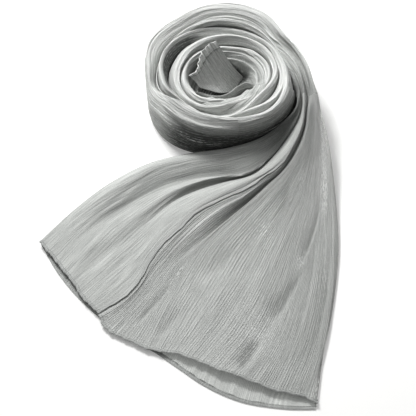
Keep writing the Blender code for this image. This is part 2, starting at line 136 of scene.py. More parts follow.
def outwards(piece):
    # turns a closed mesh's faces outwards where its volume comes out negative
    mesh = piece.data
    mesh.calc_loop_triangles()
    co = np.empty(len(mesh.vertices) * 3)
    mesh.vertices.foreach_get("co", co)
    co = co.reshape(-1, 3)
    tri = np.empty(len(mesh.loop_triangles) * 3, np.int32)
    mesh.loop_triangles.foreach_get("vertices", tri)
    a, b, c = (co[tri.reshape(-1, 3)[:, k]] for k in range(3))
    if np.einsum("ij,ij->i", a, np.cross(b, c)).sum() < 0:
        mesh.flip_normals()


# camera, light and floor

studio = {"aim": (0.0194, -0.0055, 0.0), "distance": 1.6, "elevation": 58, "lens": 129.8,
          "key": 29.5, "keyPlace": (-0.58, 1.13, 1.18), "keySize": (0.50, 0.40),
          "rim": 2.5, "rimPlace": (1.05, 0.70, 0.85), "rimSize": (0.6, 0.5), "skyTowards": (-0.2, 0.50, 0.84),
          "skyTop": 0.80, "skyLow": 0.0, "floor": "#EDEDEC", "floorGlow": 0.17, "floorHalf": 3.0,
          "gamma": 0.85}


def hexLinear(code):
    values = [int(code[k:k + 2], 16) / 255 for k in (1, 3, 5)]
    return tuple(v / 12.92 if v <= 0.04045 else ((v + 0.055) / 1.055) ** 2.4 for v in values) + (1.0,)


def addNode(tree, kind, inputs=None, **settings):
    node = tree.nodes.new(kind)
    for key, value in settings.items():
        setattr(node, key, value)
    for key, value in (inputs or {}).items():
        if isinstance(value, bpy.types.NodeSocket):
            tree.links.new(value, node.inputs[key])
        else:
            node.inputs[key].default_value = value
    return node


def aimedAt(thing, place, target):
    thing.location = place
    dx, dy, dz = (t - p for t, p in zip(target, place))
    thing.rotation_euler = (math.atan2(math.hypot(dx, dy), -dz), 0, math.atan2(dy, dx) - math.pi / 2)


def areaLight(name, place, size, strength):
    lamp = bpy.data.lights.new(name, "AREA")
    lamp.shape, lamp.size, lamp.size_y, lamp.energy = "RECTANGLE", size[0], size[1], strength
    holder = bpy.data.objects.new(name, lamp)
    bpy.context.collection.objects.link(holder)
    aimedAt(holder, place, (0.02, 0.0, 0.02))


def makeStudio():
    lens = bpy.data.cameras.new("view")
    lens.lens, lens.sensor_width, lens.clip_end = studio["lens"], 36, 20
    camera = bpy.data.objects.new("view", lens)
    bpy.context.collection.objects.link(camera)
    tilt = math.radians(studio["elevation"])
    x, y, z = studio["aim"]
    camera.location = (x, y - studio["distance"] * math.cos(tilt), z + studio["distance"] * math.sin(tilt))
    camera.rotation_euler = (math.pi / 2 - tilt, 0, 0)
    bpy.context.scene.camera = camera
    areaLight("keySoftbox", studio["keyPlace"], studio["keySize"], studio["key"])
    areaLight("rimSoftbox", studio["rimPlace"], studio["rimSize"], studio["rim"])
    world = bpy.data.worlds.new("studioAir")
    world.use_nodes = True
    tree = world.node_tree
    back = tree.nodes["Background"]
    back.inputs["Color"].default_value = (1, 1, 1, 1)
    look = addNode(tree, "ShaderNodeTexCoord")
    # a broad overhead scrim behind the coil, fading towards the camera
    rise = addNode(tree, "ShaderNodeVectorMath", {0: look.outputs["Generated"], 1: studio["skyTowards"]},
                   operation="DOT_PRODUCT")
    glow = addNode(tree, "ShaderNodeMapRange",
                   {"Value": rise.outputs["Value"], "From Min": 0.0, "From Max": 1.0,
                    "To Min": studio["skyLow"], "To Max": studio["skyTop"]})
    tree.links.new(glow.outputs[0], back.inputs["Strength"])
    bpy.context.scene.world = world
    bpy.context.scene.view_settings.view_transform = "Standard"
    bpy.context.scene.view_settings.gamma = studio["gamma"]
    mesh = bpy.data.meshes.new("floorSweep")
    half = studio["floorHalf"]
    corners = [(-half, -half, 0), (half, -half, 0), (half, half, 0), (-half, half, 0)]
    mesh.from_pydata(corners, [], [(0, 1, 2, 3)])
    floor = bpy.data.objects.new("floorSweep", mesh)
    bpy.context.collection.objects.link(floor)
    paint = bpy.data.materials.new("mattWhitePaper")   # plain paper sweep, no gloss
    paint.use_nodes = True
    shader = paint.node_tree.nodes["Principled BSDF"]
    shader.inputs["Base Color"].default_value = hexLinear(studio["floor"])
    shader.inputs["Roughness"].default_value = 0.9
    shader.inputs["Specular IOR Level"].default_value = 0.1
    shader.inputs["Emission Color"].default_value = (1, 1, 1, 1)
    shader.inputs["Emission Strength"].default_value = studio["floorGlow"]
    mesh.materials.append(paint)


makeStudio()
print("studio ready")


# materials

# crinkle crepe: sizes in mm, the crinkle and the threads a little coarser than real ones, so that they show
# the darkest colour here is the painted shade laid into folds and hollows; the thread colour also serves as the
# painted highlight on crowns
crepe = {"ground": "#CDCFCC", "shade": "#A3A5A3", "thread": "#F2F3F1", "threadGap": 2.5, "pleatShare": 0.42,
         "crinkleAcross": 1.25, "crinkleAlong": 40.0, "gatherAcross": 3.2, "gatherAlong": 55.0, "grain": 0.7,
         "sway": 0.0024, "paintedShade": "#6E706E", "glint": 0.55}


def crepeMaterial(name, shine=1.0, crinkle=1.0, ground=None, pleat=1.0, light=0.0, gather=0.0,
                  gatherTone=0.0):
    # yarn-dyed grey crepe, matt and pleated lengthwise, with a fine metallic thread on each pleat, drawn lighter and
    # glowing a little as painted glint where it gleams; painted shade and painted highlight come in from attributes
    cloth = bpy.data.materials.new(name)
    cloth.use_nodes = True
    tree = cloth.node_tree
    shader = tree.nodes["Principled BSDF"]
    uv = addNode(tree, "ShaderNodeUVMap", uv_map="cloth")
    parts = addNode(tree, "ShaderNodeSeparateXYZ", {"Vector": uv.outputs["UV"]})
    drift = addNode(tree, "ShaderNodeTexNoise", {"Vector": uv.outputs["UV"], "Scale": 26.0, "Detail": 2.0})
    sway = addNode(tree, "ShaderNodeMath", {0: drift.outputs["Fac"], 1: crepe["sway"]}, operation="MULTIPLY")
    across = addNode(tree, "ShaderNodeMath", {0: parts.outputs["X"], 1: sway.outputs[0]}, operation="ADD")

    def streaks(acrossMm, alongMm, detail, rough=0.55):
        x = addNode(tree, "ShaderNodeMath", {0: across.outputs[0], 1: 1000 / acrossMm}, operation="MULTIPLY")
        y = addNode(tree, "ShaderNodeMath", {0: parts.outputs["Y"], 1: 1000 / alongMm}, operation="MULTIPLY")
        place = addNode(tree, "ShaderNodeCombineXYZ", {"X": x.outputs[0], "Y": y.outputs[0]})
        return addNode(tree, "ShaderNodeTexNoise",
                       {"Vector": place.outputs[0], "Scale": 1.0, "Detail": detail, "Roughness": rough})

    ripple = streaks(crepe["crinkleAcross"], crepe["crinkleAlong"], 3.0)
    patch = streaks(9.0, 26.0, 2.0)
    grain = streaks(crepe["grain"], crepe["grain"] * 1.6, 2.0, 0.6)
    # pleats: a narrow ridge every few millimetres, stronger and weaker in patches
    count = addNode(tree, "ShaderNodeMath", {0: across.outputs[0], 1: 1000 / crepe["threadGap"]},
                    operation="MULTIPLY")
    inside = addNode(tree, "ShaderNodeMath", {0: count.outputs[0], 1: 0.5}, operation="PINGPONG")
    ridge = addNode(tree, "ShaderNodeMapRange",
                    {"Value": inside.outputs[0], "From Min": 0.5, "From Max": 0.06},
                    interpolation_type="SMOOTHSTEP")
    hold = addNode(tree, "ShaderNodeMapRange",
                   {"Value": patch.outputs["Fac"], "From Min": 0.32, "From Max": 0.62,
                    "To Min": 0.25, "To Max": 1.0})
    pleats = addNode(tree, "ShaderNodeMath", {0: ridge.outputs[0], 1: hold.outputs[0]}, operation="MULTIPLY")
    line = addNode(tree, "ShaderNodeMapRange",
                   {"Value": inside.outputs[0], "From Min": 0.22, "From Max": 0.02},
                   interpolation_type="SMOOTHSTEP")
    dashes = streaks(crepe["threadGap"] * 0.8, 4.5, 2.0, 0.6)
    dash = addNode(tree, "ShaderNodeMapRange",
                   {"Value": dashes.outputs["Fac"], "From Min": 0.42, "From Max": 0.60},
                   interpolation_type="SMOOTHSTEP")
    gleam = addNode(tree, "ShaderNodeAttribute", attribute_name="gleam", attribute_type="GEOMETRY")
    gleamScale = addNode(tree, "ShaderNodeMath", {0: gleam.outputs["Fac"], 1: shine}, operation="MULTIPLY")
    lit = addNode(tree, "ShaderNodeMath", {0: line.outputs[0], 1: dash.outputs[0]}, operation="MULTIPLY")
    thread = addNode(tree, "ShaderNodeMath", {0: lit.outputs[0], 1: gleamScale.outputs[0]},
                     operation="MULTIPLY", use_clamp=True)
    flutes = addNode(tree, "ShaderNodeMapRange",
                     {"Value": ripple.outputs["Fac"], "From Min": 0.3, "From Max": 0.7})
    share = crepe["pleatShare"] * pleat
    part = addNode(tree, "ShaderNodeMath", {0: flutes.outputs[0], 1: 1 - share}, operation="MULTIPLY")
    tone = addNode(tree, "ShaderNodeMath", {0: pleats.outputs[0], 1: share, 2: part.outputs[0]},
                   operation="MULTIPLY_ADD")
    speck = addNode(tree, "ShaderNodeMapRange",
                    {"Value": grain.outputs["Fac"], "From Min": 0.3, "From Max": 0.7,
                     "To Min": -0.26, "To Max": 0.26})
    if gather:
        # gathers: uneven lengthwise waves a few millimetres wide
        waves = streaks(crepe["gatherAcross"], crepe["gatherAlong"], 2.0)
        wave = addNode(tree, "ShaderNodeMapRange",
                       {"Value": waves.outputs["Fac"], "From Min": 0.3, "From Max": 0.7,
                        "To Min": -gatherTone, "To Max": gatherTone})
        speck = addNode(tree, "ShaderNodeMath", {0: speck.outputs[0], 1: wave.outputs[0]}, operation="ADD")
    toned = addNode(tree, "ShaderNodeMath", {0: tone.outputs[0], 1: speck.outputs[0]}, operation="ADD",
                    use_clamp=True)
    base = addNode(tree, "ShaderNodeMix", {"Factor": toned.outputs[0]}, data_type="RGBA")
    base.inputs["A"].default_value = hexLinear(crepe["shade"])
    base.inputs["B"].default_value = hexLinear(ground or crepe["ground"])
    # painted shade, darker deep in folds, in hollows and on shaded walls; painted highlight, lighter on the crowns
    depth = addNode(tree, "ShaderNodeAttribute", attribute_name="fold", attribute_type="GEOMETRY")
    fold = addNode(tree, "ShaderNodeMix", {"Factor": depth.outputs["Fac"]}, data_type="RGBA",
                   blend_type="MULTIPLY")
    tree.links.new(base.outputs["Result"], fold.inputs["A"])
    fold.inputs["B"].default_value = hexLinear(crepe["paintedShade"])
    edge = addNode(tree, "ShaderNodeAttribute", attribute_name="paintedHighlight", attribute_type="GEOMETRY")
    crownHighlight = addNode(tree, "ShaderNodeMix", {"Factor": edge.outputs["Fac"]}, data_type="RGBA")
    tree.links.new(fold.outputs["Result"], crownHighlight.inputs["A"])
    crownHighlight.inputs["B"].default_value = hexLinear(crepe["thread"])
    colour = addNode(tree, "ShaderNodeMix", {"Factor": thread.outputs[0]}, data_type="RGBA")
    tree.links.new(crownHighlight.outputs["Result"], colour.inputs["A"])
    colour.inputs["B"].default_value = hexLinear(crepe["thread"])
    tree.links.new(colour.outputs["Result"], shader.inputs["Base Color"])
    metal = addNode(tree, "ShaderNodeMath", {0: thread.outputs[0], 1: 0.2}, operation="MULTIPLY")
    tree.links.new(metal.outputs[0], shader.inputs["Metallic"])
    rough = addNode(tree, "ShaderNodeMapRange", {"Value": thread.outputs[0], "To Min": 0.68, "To Max": 0.34})
    tree.links.new(rough.outputs[0], shader.inputs["Roughness"])
    shader.inputs["Specular IOR Level"].default_value = 0.32
    shader.inputs["Sheen Weight"].default_value = 0.10
    shader.inputs["Sheen Roughness"].default_value = 0.45
    if light:
        # painted light: a faint glow standing for light that would come through the single thin cloth above this one
        seen = addNode(tree, "ShaderNodeAttribute", attribute_name="paintedGlow", attribute_type="GEOMETRY")
        strength = addNode(tree, "ShaderNodeMath", {0: seen.outputs["Fac"], 1: light}, operation="MULTIPLY")
    else:
        # painted glints: the threads glow a little where they gleam most
        bright = addNode(tree, "ShaderNodeMapRange",
                         {"Value": gleam.outputs["Fac"], "From Min": 0.55, "From Max": 1.3,
                          "To Max": crepe["glint"] * shine})
        strength = addNode(tree, "ShaderNodeMath", {0: bright.outputs[0], 1: thread.outputs[0]},
                           operation="MULTIPLY")
    tree.links.new(strength.outputs[0], shader.inputs["Emission Strength"])
    tree.links.new(colour.outputs["Result"], shader.inputs["Emission Color"])
    height = addNode(tree, "ShaderNodeMath", {0: toned.outputs[0], 1: 0.62 * crinkle}, operation="MULTIPLY")
    if gather:
        height = addNode(tree, "ShaderNodeMath", {0: waves.outputs["Fac"], 1: gather, 2: height.outputs[0]},
                         operation="MULTIPLY_ADD")
    bump = addNode(tree, "ShaderNodeBump", {"Height": height.outputs[0], "Distance": 0.0009, "Strength": 0.9})
    tree.links.new(bump.outputs["Normal"], shader.inputs["Normal"])
    return cloth


# the same cloth as it lies: gathered on the coil, crinkled on the tail's right, drawn smooth on its left, with a
# painted glow underneath for light through the one layer above, and turned and pressed in the hems
coilCrepe = crepeMaterial("crinkleCrepeCoil", shine=1.0, crinkle=1.2, pleat=0.6, gather=2.4, gatherTone=0.32)
tailCrepe = crepeMaterial("crinkleCrepeTail", shine=1.0, crinkle=1.5, gather=0.3, gatherTone=0.12)
smoothCrepe = crepeMaterial("crinkleCrepeLeft", shine=0.6, crinkle=0.55, pleat=0.18, gather=0.2,
                            gatherTone=0.06)
underCrepe = crepeMaterial("crinkleCrepeUnder", shine=0.3, crinkle=0.9, pleat=0.8, light=0.32)
hemCrepe = crepeMaterial("turnedHemCrepe", shine=0.35, crinkle=0.6, ground="#BFC1BF", pleat=0.3)


def threadMaterial():
    # spun polyester sewing thread: matt, a little lighter than the cloth
    thread = bpy.data.materials.new("polyesterThread")
    thread.use_nodes = True
    tree = thread.node_tree
    shader = tree.nodes["Principled BSDF"]
    place = addNode(tree, "ShaderNodeTexCoord")
    twist = addNode(tree, "ShaderNodeTexNoise",
                    {"Vector": place.outputs["Object"], "Scale": 2500.0, "Detail": 1.0})
    tone = addNode(tree, "ShaderNodeMix", {"Factor": twist.outputs["Fac"]}, data_type="RGBA")
    tone.inputs["A"].default_value = hexLinear("#8A8E8B")
    tone.inputs["B"].default_value = hexLinear("#C4C7C4")
    tree.links.new(tone.outputs["Result"], shader.inputs["Base Color"])
    shader.inputs["Roughness"].default_value = 0.7
    return thread


stitchThread = threadMaterial()
print("materials ready")


# the coil

# outer turn in mm: angle, foot radius, then (radius, height) of bulge, shoulder, crest, crease, fold, groove
# and inner fold
outerTurn = {
    "marks": (14, 13, 12, 9, 7, 5, 3, 0),      # the tail's folds that run on into each column
    "rows": (
        (-20, 117.2, (117.2, 20), (114.0, 31), (104.6, 40), (97.4, 32), (94.5, 39.0), (90.5, 34.0), (85.8, 39.5)),
        (-10, 106.0, (107.5, 18), (106.4, 33), (99.6, 42), (94.2, 34), (90.0, 42.0), (87.3, 36.5), (84.5, 43.0)),
        (0,    98.5, (100.6, 18), (100.2, 32), (95.6, 42.5), (91.2, 34), (86.8, 42.5), (83.8, 36.0), (80.0, 44.0)),
        (15,   94.0, (96.6, 18), (96.2, 34), (92.4, 43.5), (88.4, 36), (83.6, 42.4), (79.8, 37.0), (76.0, 43.0)),
        (30,   92.2, (94.6, 18), (94.2, 35), (90.6, 44.2), (86.4, 36.6), (81.4, 41.8), (78.0, 38.0), (75.4, 41.0)),
        (45,   93.8, (96.2, 18), (95.6, 35), (91.4, 44.8), (86.2, 39.4), (82.2, 41.0), (80.2, 38.5), (78.6, 37.5)),
        (60,  101.0, (104.0, 19), (103.5, 36), (99.0, 46), (91.0, 43), (87.5, 40.0), (85.0, 38.0), (83.0, 37.0)),
        (90,  104.0, (107.0, 20), (106.5, 37), (103.0, 46), (95.5, 44), (92.0, 41.0), (89.0, 39.0), (87.0, 38.0)),
        (120,  98.0, (101.0, 20), (100.5, 36), (97.0, 45), (91.0, 42), (88.0, 40.0), (86.0, 38.0), (84.5, 37.0)),
        (150,  93.5, (97.5, 18), (97.0, 33), (93.5, 41), (87.5, 39), (84.0, 37.0), (82.0, 35.5), (80.5, 34.0)),
        (165,  84.5, (87.5, 17), (87.0, 30), (85.0, 39), (81.7, 38), (79.7, 36.2), (78.3, 34.8), (77.2, 33.8)),
        (180,  81.0, (83.5, 16), (82.5, 28), (79.8, 37), (78.3, 36), (76.8, 34.5), (75.6, 33.5), (74.6, 33.0)),
        (195,  82.0, (83.5, 15), (80.6, 29), (74.5, 40.5), (72.0, 42.4), (70.2, 43.0), (69.0, 42.8), (67.8, 41.0)),
        (210,  81.0, (81.5, 15), (77.6, 31), (68.0, 45.0), (64.5, 48.0), (62.0, 49.2), (60.5, 49.2), (59.0, 47.5)),
        (225,  78.5, (79.0, 15), (74.8, 32), (64.8, 45.5), (60.5, 48.8), (57.6, 50.0), (56.0, 50.0), (54.5, 48.5)),
        (240,  75.0, (75.5, 15), (72.0, 32), (62.8, 45.5), (58.2, 48.8), (55.3, 50.0), (53.8, 50.0), (52.4, 48.5)),
        (255,  71.5, (72.5, 15), (70.0, 32), (61.8, 45.5), (57.6, 48.8), (55.0, 50.0), (53.5, 50.0), (52.2, 48.5)),
        (270,  68.5, (70.0, 15), (68.6, 32), (62.0, 45.5), (58.4, 48.8), (56.0, 50.0), (54.5, 50.0), (53.2, 48.5)),
        (285,  68.5, (70.0, 15), (69.2, 32), (64.2, 45.5), (61.2, 48.8), (59.2, 50.0), (57.6, 50.0), (56.2, 48.5)))}

# fold edges of the inner turns: degrees wound, radius and height in mm
innerTurns = {
    "second": ((285, 57.5, 50), (300, 61.5, 50), (315, 66.5, 50), (330, 68.5, 50), (345, 69.0, 50), (360, 69.3, 49),
               (390, 70.5, 48), (420, 77.0, 48), (450, 81.5, 48), (480, 80.0, 45), (510, 76.5, 38), (540, 71.5, 35),
               (555, 65.8, 40), (570, 57.2, 46), (585, 53.0, 46), (600, 50.9, 45), (630, 51.4, 45)),
    "third": ((648, 49.8, 46), (660, 50.5, 47), (675, 55.0, 48), (690, 60.5, 48), (705, 65.0, 48), (720, 66.5, 48),
              (740, 67.0, 47), (755, 69.5, 46), (780, 73.0, 42), (810, 75.0, 40), (840, 75.5, 44), (870, 73.5, 49),
              (885, 71.0, 50), (900, 67.3, 50), (915, 63.0, 50), (930, 54.8, 47), (945, 50.6, 44), (960, 48.3, 41),
              (990, 46.6, 39)),
    "fourth": ((1005, 45.6, 39), (1020, 44.0, 41), (1038, 42.8, 43), (1054, 44.0, 44), (1065, 47.5, 44),
               (1080, 55.0, 44), (1095, 61.0, 44), (1110, 63.5, 43), (1127, 65.5, 42), (1146, 64.0, 43),
               (1170, 60.0, 45), (1200, 56.0, 46), (1230, 53.0, 46), (1260, 51.5, 45), (1287, 48.0, 45),
               (1301, 46.0, 45), (1320, 42.0, 45), (1340, 36.5, 44)),
    "inner": ((1365, 31.5, 43), (1380, 31.0, 42), (1397, 34.0, 41), (1414, 37.5, 40), (1428, 43.0, 40),
              (1448, 51.0, 40), (1468, 54.0, 40), (1490, 52.5, 40), (1515, 49.0, 39), (1540, 48.0, 39),
              (1570, 46.2, 41), (1600, 44.0, 42), (1624, 41.0, 43), (1647, 37.0, 42.5), (1675, 30.5, 42),
              (1705, 24.5, 41), (1732, 22.5, 34))}
# near wall of the second turn, where the tail leaves room: degrees, foot, bulge, shoulder
secondWall = ((285, 68.5, 70.0, 15, 69.2, 32.4), (300, 71.5, 72.5, 15, 71.8, 34), (315, 75.5, 76.0, 15, 75.0, 35),
              (330, 79.0, 79.3, 15, 78.0, 37), (342, 79.0, 79.6, 16, 78.6, 40), (350, 78.2, 79.0, 18, 78.0, 42))

outerRows = np.array([(row[0], row[1], 0, *sum(row[2:], ())) for row in outerTurn["rows"]], float)
edgeRows = np.array(sum(innerTurns.values(), ()), float)
wallRows = np.array(secondWall, float)


def foldEdge(turned):
    turned = np.asarray(turned, float)
    outer = smoothRows(outerRows[:, 0], outerRows[:, 1:], turned)[:, -2:]
    inner = smoothRows(edgeRows[:, 0], edgeRows[:, 1:], turned)
    return np.where((turned < 285)[:, None], outer, inner)


def valley(turned):
    outer, inner = foldEdge(turned - 360), foldEdge(turned)
    flat = ease(turned, 1530, 1565) * (1 - ease(turned, 1650, 1690))
    depth = (3 + 1.4 * (outer[:, 0] - inner[:, 0])) * (1 - 0.7 * flat)
    return np.column_stack((0.5 * (outer[:, 0] + inner[:, 0]),
                            np.maximum(6.0, np.minimum(outer[:, 1], inner[:, 1]) - depth)))


def outerSkin(turned, marks):
    # (radius, height) of the outer turn's top at the tail's fold marks
    ctrl = smoothRows(outerRows[:, 0], outerRows[:, 1:], turned).reshape(len(turned), -1, 2)
    return acrossRows(ctrl[:, ::-1], outerTurn["marks"][::-1], marks)


def chordSpline(ctrl, counts):
    # smooth line through control points, for every station at once; counts gives the points in each span
    seg = np.diff(ctrl, axis=1)
    h = np.maximum(np.linalg.norm(seg, axis=2, keepdims=True), 1e-6)
    s = seg / h
    d = np.empty_like(ctrl)
    d[:, 0], d[:, -1] = s[:, 0], s[:, -1]
    d[:, 1:-1] = (s[:, :-1] * h[:, 1:] + s[:, 1:] * h[:, :-1]) / (h[:, :-1] + h[:, 1:])
    out = []
    for k, n in enumerate(counts):
        t = (np.arange(n) / n)[None, :, None]
        a, b, hk = ctrl[:, k:k + 1], ctrl[:, k + 1:k + 2], h[:, k:k + 1]
        out.append((2 * t**3 - 3 * t**2 + 1) * a + (t**3 - 2 * t**2 + t) * hk * d[:, k:k + 1]
                   + (-2 * t**3 + 3 * t**2) * b + (t**3 - t**2) * hk * d[:, k + 1:k + 2])
    out.append(ctrl[:, -1:])
    return np.concatenate(out, axis=1)


crestColumn = 38                               # the outer profile's column at the tail's fold mark 9


def outerProfile(turned):
    marks = np.concatenate((np.linspace(14, 12, 16, endpoint=False), np.linspace(12, 9, 22, endpoint=False),
                            np.linspace(9, 0, 44)))
    skin = outerSkin(turned, marks[::-1])[:, ::-1]
    groove = valley(turned + 360)
    last = np.stack((groove, np.column_stack((groove[:, 0], np.zeros(len(turned))))), axis=1)
    bulge = 0.30 + 0.30 * (1 - ease(turned, -10, 18))[:, None]
    full = groove + np.concatenate((bulge, 1.1 - bulge), axis=1) * (skin[:, -1] - groove)
    inner = chordSpline(np.stack((skin[:, -1], full, groove), axis=1), (4, 5))[:, 1:]
    return np.concatenate((skin, inner, last[:, 1:]), axis=1)


# how full each turn is beside its fold: degrees wound, the shoulder's place in the room there, its height,
# half the crown's width in mm
turnRound = ((285, 0.55, 0.82, 3.7), (340, 0.62, 0.86, 5.0), (352, 0.66, 0.88, 3.8), (385, 0.70, 0.88, 3.2),
             (420, 0.60, 0.84, 2.2), (520, 0.60, 0.84, 2.2), (560, 0.55, 0.82, 2.6), (640, 0.55, 0.84, 3.2),
             (700, 0.60, 0.84, 2.4), (880, 0.60, 0.84, 2.2), (960, 0.60, 0.84, 2.8), (1060, 0.60, 0.84, 2.2),
             (1290, 0.60, 0.84, 2.6), (1400, 0.60, 0.84, 2.0), (1732, 0.60, 0.84, 2.0))


def innerProfile(turned):
    edge = foldEdge(turned)
    out = valley(turned)
    early = turned < 350
    wall = smoothRows(wallRows[:, 0], wallRows[:, 1:], turned)
    room = out[:, 0] - edge[:, 0]
    foot = np.where(early, wall[:, 0], out[:, 0])
    aR, aZ = np.where(early, wall[:, 1], out[:, 0]), np.where(early, wall[:, 2], out[:, 1])
    fullness = smoothRows([r[0] for r in turnRound], [r[1:] for r in turnRound], turned)
    bR = np.where(early, wall[:, 3], edge[:, 0] + fullness[:, 0] * room)
    bZ = np.where(early, wall[:, 4], out[:, 1] + fullness[:, 1] * (edge[:, 1] - out[:, 1]))
    closing = turned + 360 <= edgeRows[-1, 0]
    nextValley = valley(np.minimum(turned + 360, edgeRows[-1, 0]))
    inR = np.where(closing, nextValley[:, 0], edge[:, 0] - 6.5)
    inZ = np.where(closing, nextValley[:, 1], 6.0)
    inRoom = edge[:, 0] - inR
    outHalf = np.minimum(fullness[:, 2], 0.45 * (bR - edge[:, 0]))
    half = np.minimum(fullness[:, 2] * 0.55, 0.3 * inRoom)
    zero = np.zeros(len(turned))
    ctrl = np.stack([np.column_stack(c) for c in (
        (foot, zero), (aR, aZ), (bR, bZ),
        (edge[:, 0] + outHalf, edge[:, 1] - 0.28 * outHalf - 0.2), (edge[:, 0], edge[:, 1]),
        (edge[:, 0] - half, edge[:, 1] - 0.5 * half - 0.2),
        (edge[:, 0] - fullness[:, 0] * inRoom, inZ + fullness[:, 1] * (edge[:, 1] - inZ)),
        (inR, inZ), (inR, zero))], axis=1)
    return chordSpline(ctrl, (4, 10, 12, 4, 4, 12, 10, 3))


def creaseField(along, across, creases):
    # height in mm of soft lengthwise creases: path of (along, across) places, reach to the low and the high
    # side, height
    field = np.zeros(across.shape)
    for path, low, high, height in creases:
        path = np.asarray(path, float)
        start, end = path[0, 0], path[-1, 0]
        near = np.flatnonzero((along > start) & (along < end))
        if not len(near):
            continue
        spot = along[near]
        middle = smoothRows(path[:, 0], path[:, 1:], spot)
        reach = ease(np.minimum(spot - start, end - spot) / (end - start), 0, 0.38)[:, None]
        off = across[near] - middle
        off = np.where(off < 0, off / low, off / high)
        field[near] += height * reach * np.exp(-np.abs(off) ** 1.6)
    return field


def strayCreases(seed, count, runs, places, widths, heights, drift):
    # small creases at seeded places, as uneven as crinkled crepe
    dice = np.random.default_rng(seed)
    made = []
    for _ in range(count):
        run = dice.uniform(*runs[2:])
        start = dice.uniform(runs[0] - 0.3 * run, runs[1] - 0.4 * run)
        place, width = dice.uniform(*places), dice.uniform(*widths)
        lean = dice.uniform(0.35, 1.0)
        sides = (width, width * lean) if dice.random() < 0.5 else (width * lean, width)
        path = ((start, place), (start + 0.5 * run, place + dice.uniform(-drift, drift) * 0.6),
                (start + run, place + dice.uniform(-drift, drift)))
        made.append((path, *sides, dice.choice((-1, 1)) * dice.uniform(*heights)))
    return made


# each turn: its span and stations, how much painted highlight lies on its crown, its own folds (degrees and mm
# from the crown, out is less), and small seeded ones
turnLook = {
    "outer_turn": {"span": (-10.5, 285), "stations": 460, "crownHighlight": 0.22,
                   "stray": (11, 170, (0.6, 2.2), (0.2, 0.8)),
                   "folds": ((((-30, 4.0), (-8, 4.2), (9, 4.4), (19, 4.6), (31, 4.8), (43, 5.4), (58, 7)),
                              1.1, 2.0, -1.4),
                             (((10, 12), (30, 15), (52, 13)), 0.8, 1.2, -1.6),
                             (((20, -9), (70, -12), (140, -10)), 3.2, 1.4, 1.1),
                             (((10, -20), (60, -24), (110, -22)), 2.4, 3.5, -1.2),
                             (((95, -3), (135, -6), (178, -4)), 1.0, 2.6, -1.2),
                             (((120, -16), (160, -22), (200, -30)), 3.4, 1.6, 1.5),
                             (((150, -8), (190, -14), (240, -24), (284, -36)), 2.0, 4.4, 1.2),
                             (((165, -24), (205, -30), (250, -40)), 1.6, 3.0, -1.1),
                             (((190, -4), (225, -9), (262, -18), (284, -24)), 3.0, 1.4, -1.5),
                             (((205, -14), (240, -24), (275, -34)), 1.4, 2.6, 0.8),
                             (((175, -2), (215, -5), (255, -6), (284, -7)), 1.1, 2.2, 0.9))},
    "second_turn": {"span": (285, 648), "stations": 440, "crownHighlight": 0.34,
                    "stray": (12, 130, (0.7, 2.3), (0.25, 0.9)),
                    "folds": ((((287, -24), (310, -26), (335, -22), (360, -18)), 2.6, 1.4, 1.4),
                              (((288, -10), (320, -13), (352, -12)), 1.2, 2.6, -1.2),
                              (((330, 3.2), (370, 3.6), (420, 4.2)), 0.8, 1.6, 1.2),
                              (((338, -4.0), (365, -3.6), (400, -3.2)), 0.7, 0.5, -1.1),
                              (((332, -1.6), (362, -1.3), (402, -1.4)), 0.5, 0.6, -1.0),
                              (((340, 1.0), (372, 1.5), (410, 1.2)), 0.6, 0.5, -1.1),
                              (((400, 4.0), (440, 5.5), (480, 8.0), (520, 9)), 1.4, 0.8, 1.3),
                              (((430, -3), (470, -4.5), (515, -5)), 1.8, 0.8, 1.0),
                              (((520, 3), (555, 5), (590, 8)), 0.8, 2.0, -1.2),
                              (((560, 3), (600, 4), (640, 4.5)), 0.9, 1.7, 1.2))},
    "third_turn": {"span": (648, 1005), "stations": 400, "crownHighlight": 0.34,
                   "stray": (13, 110, (0.7, 2.3), (0.25, 0.9)),
                   "folds": ((((690, 3.0), (730, 3.6), (775, 4.5)), 0.8, 1.8, 1.2),
                             (((740, 8), (780, 10), (830, 9), (870, 12)), 1.8, 0.9, 1.4),
                             (((800, 3), (840, 3.4), (880, 3)), 1.0, 2.0, -1.1),
                             (((880, 4), (910, 7), (945, 11)), 2.2, 1.0, 1.4),
                             (((905, -3), (945, -4.5), (990, -4)), 1.0, 1.9, -1.0))},
    "fourth_turn": {"span": (1005, 1365), "stations": 380, "crownHighlight": 0.34,
                    "stray": (14, 110, (0.7, 2.2), (0.25, 0.85)),
                    "folds": ((((1050, 3.2), (1085, 4.0), (1130, 4.4)), 0.8, 1.6, 1.2),
                              (((1120, 7), (1160, 9), (1210, 8)), 1.6, 0.9, 1.3),
                              (((1200, 3), (1240, 4), (1290, 3.6)), 0.9, 1.8, 1.1),
                              (((1230, 8), (1270, 9), (1310, 8)), 1.0, 1.8, -1.2))},
    "inner_turn": {"span": (1365, 1732), "stations": 360, "crownHighlight": 0.34,
                   "stray": (15, 110, (0.7, 2.2), (0.25, 0.85)),
                   "folds": ((((1410, 3.4), (1450, 4.2), (1500, 4.4)), 0.8, 1.6, 1.2),
                             (((1480, 7.5), (1520, 9), (1560, 8)), 1.6, 0.9, 1.2),
                             (((1560, 3), (1600, 4), (1650, 3.4)), 0.9, 1.7, -1.1))}}


def coilPlace(turned, profile):
    a = np.radians(turned)[:, None]
    return np.stack(((coilMiddle[0] + profile[..., 0] * np.cos(a)) * mm,
                     (coilMiddle[1] + profile[..., 0] * np.sin(a)) * mm,
                     profile[..., 1] * mm), axis=2) + planShift


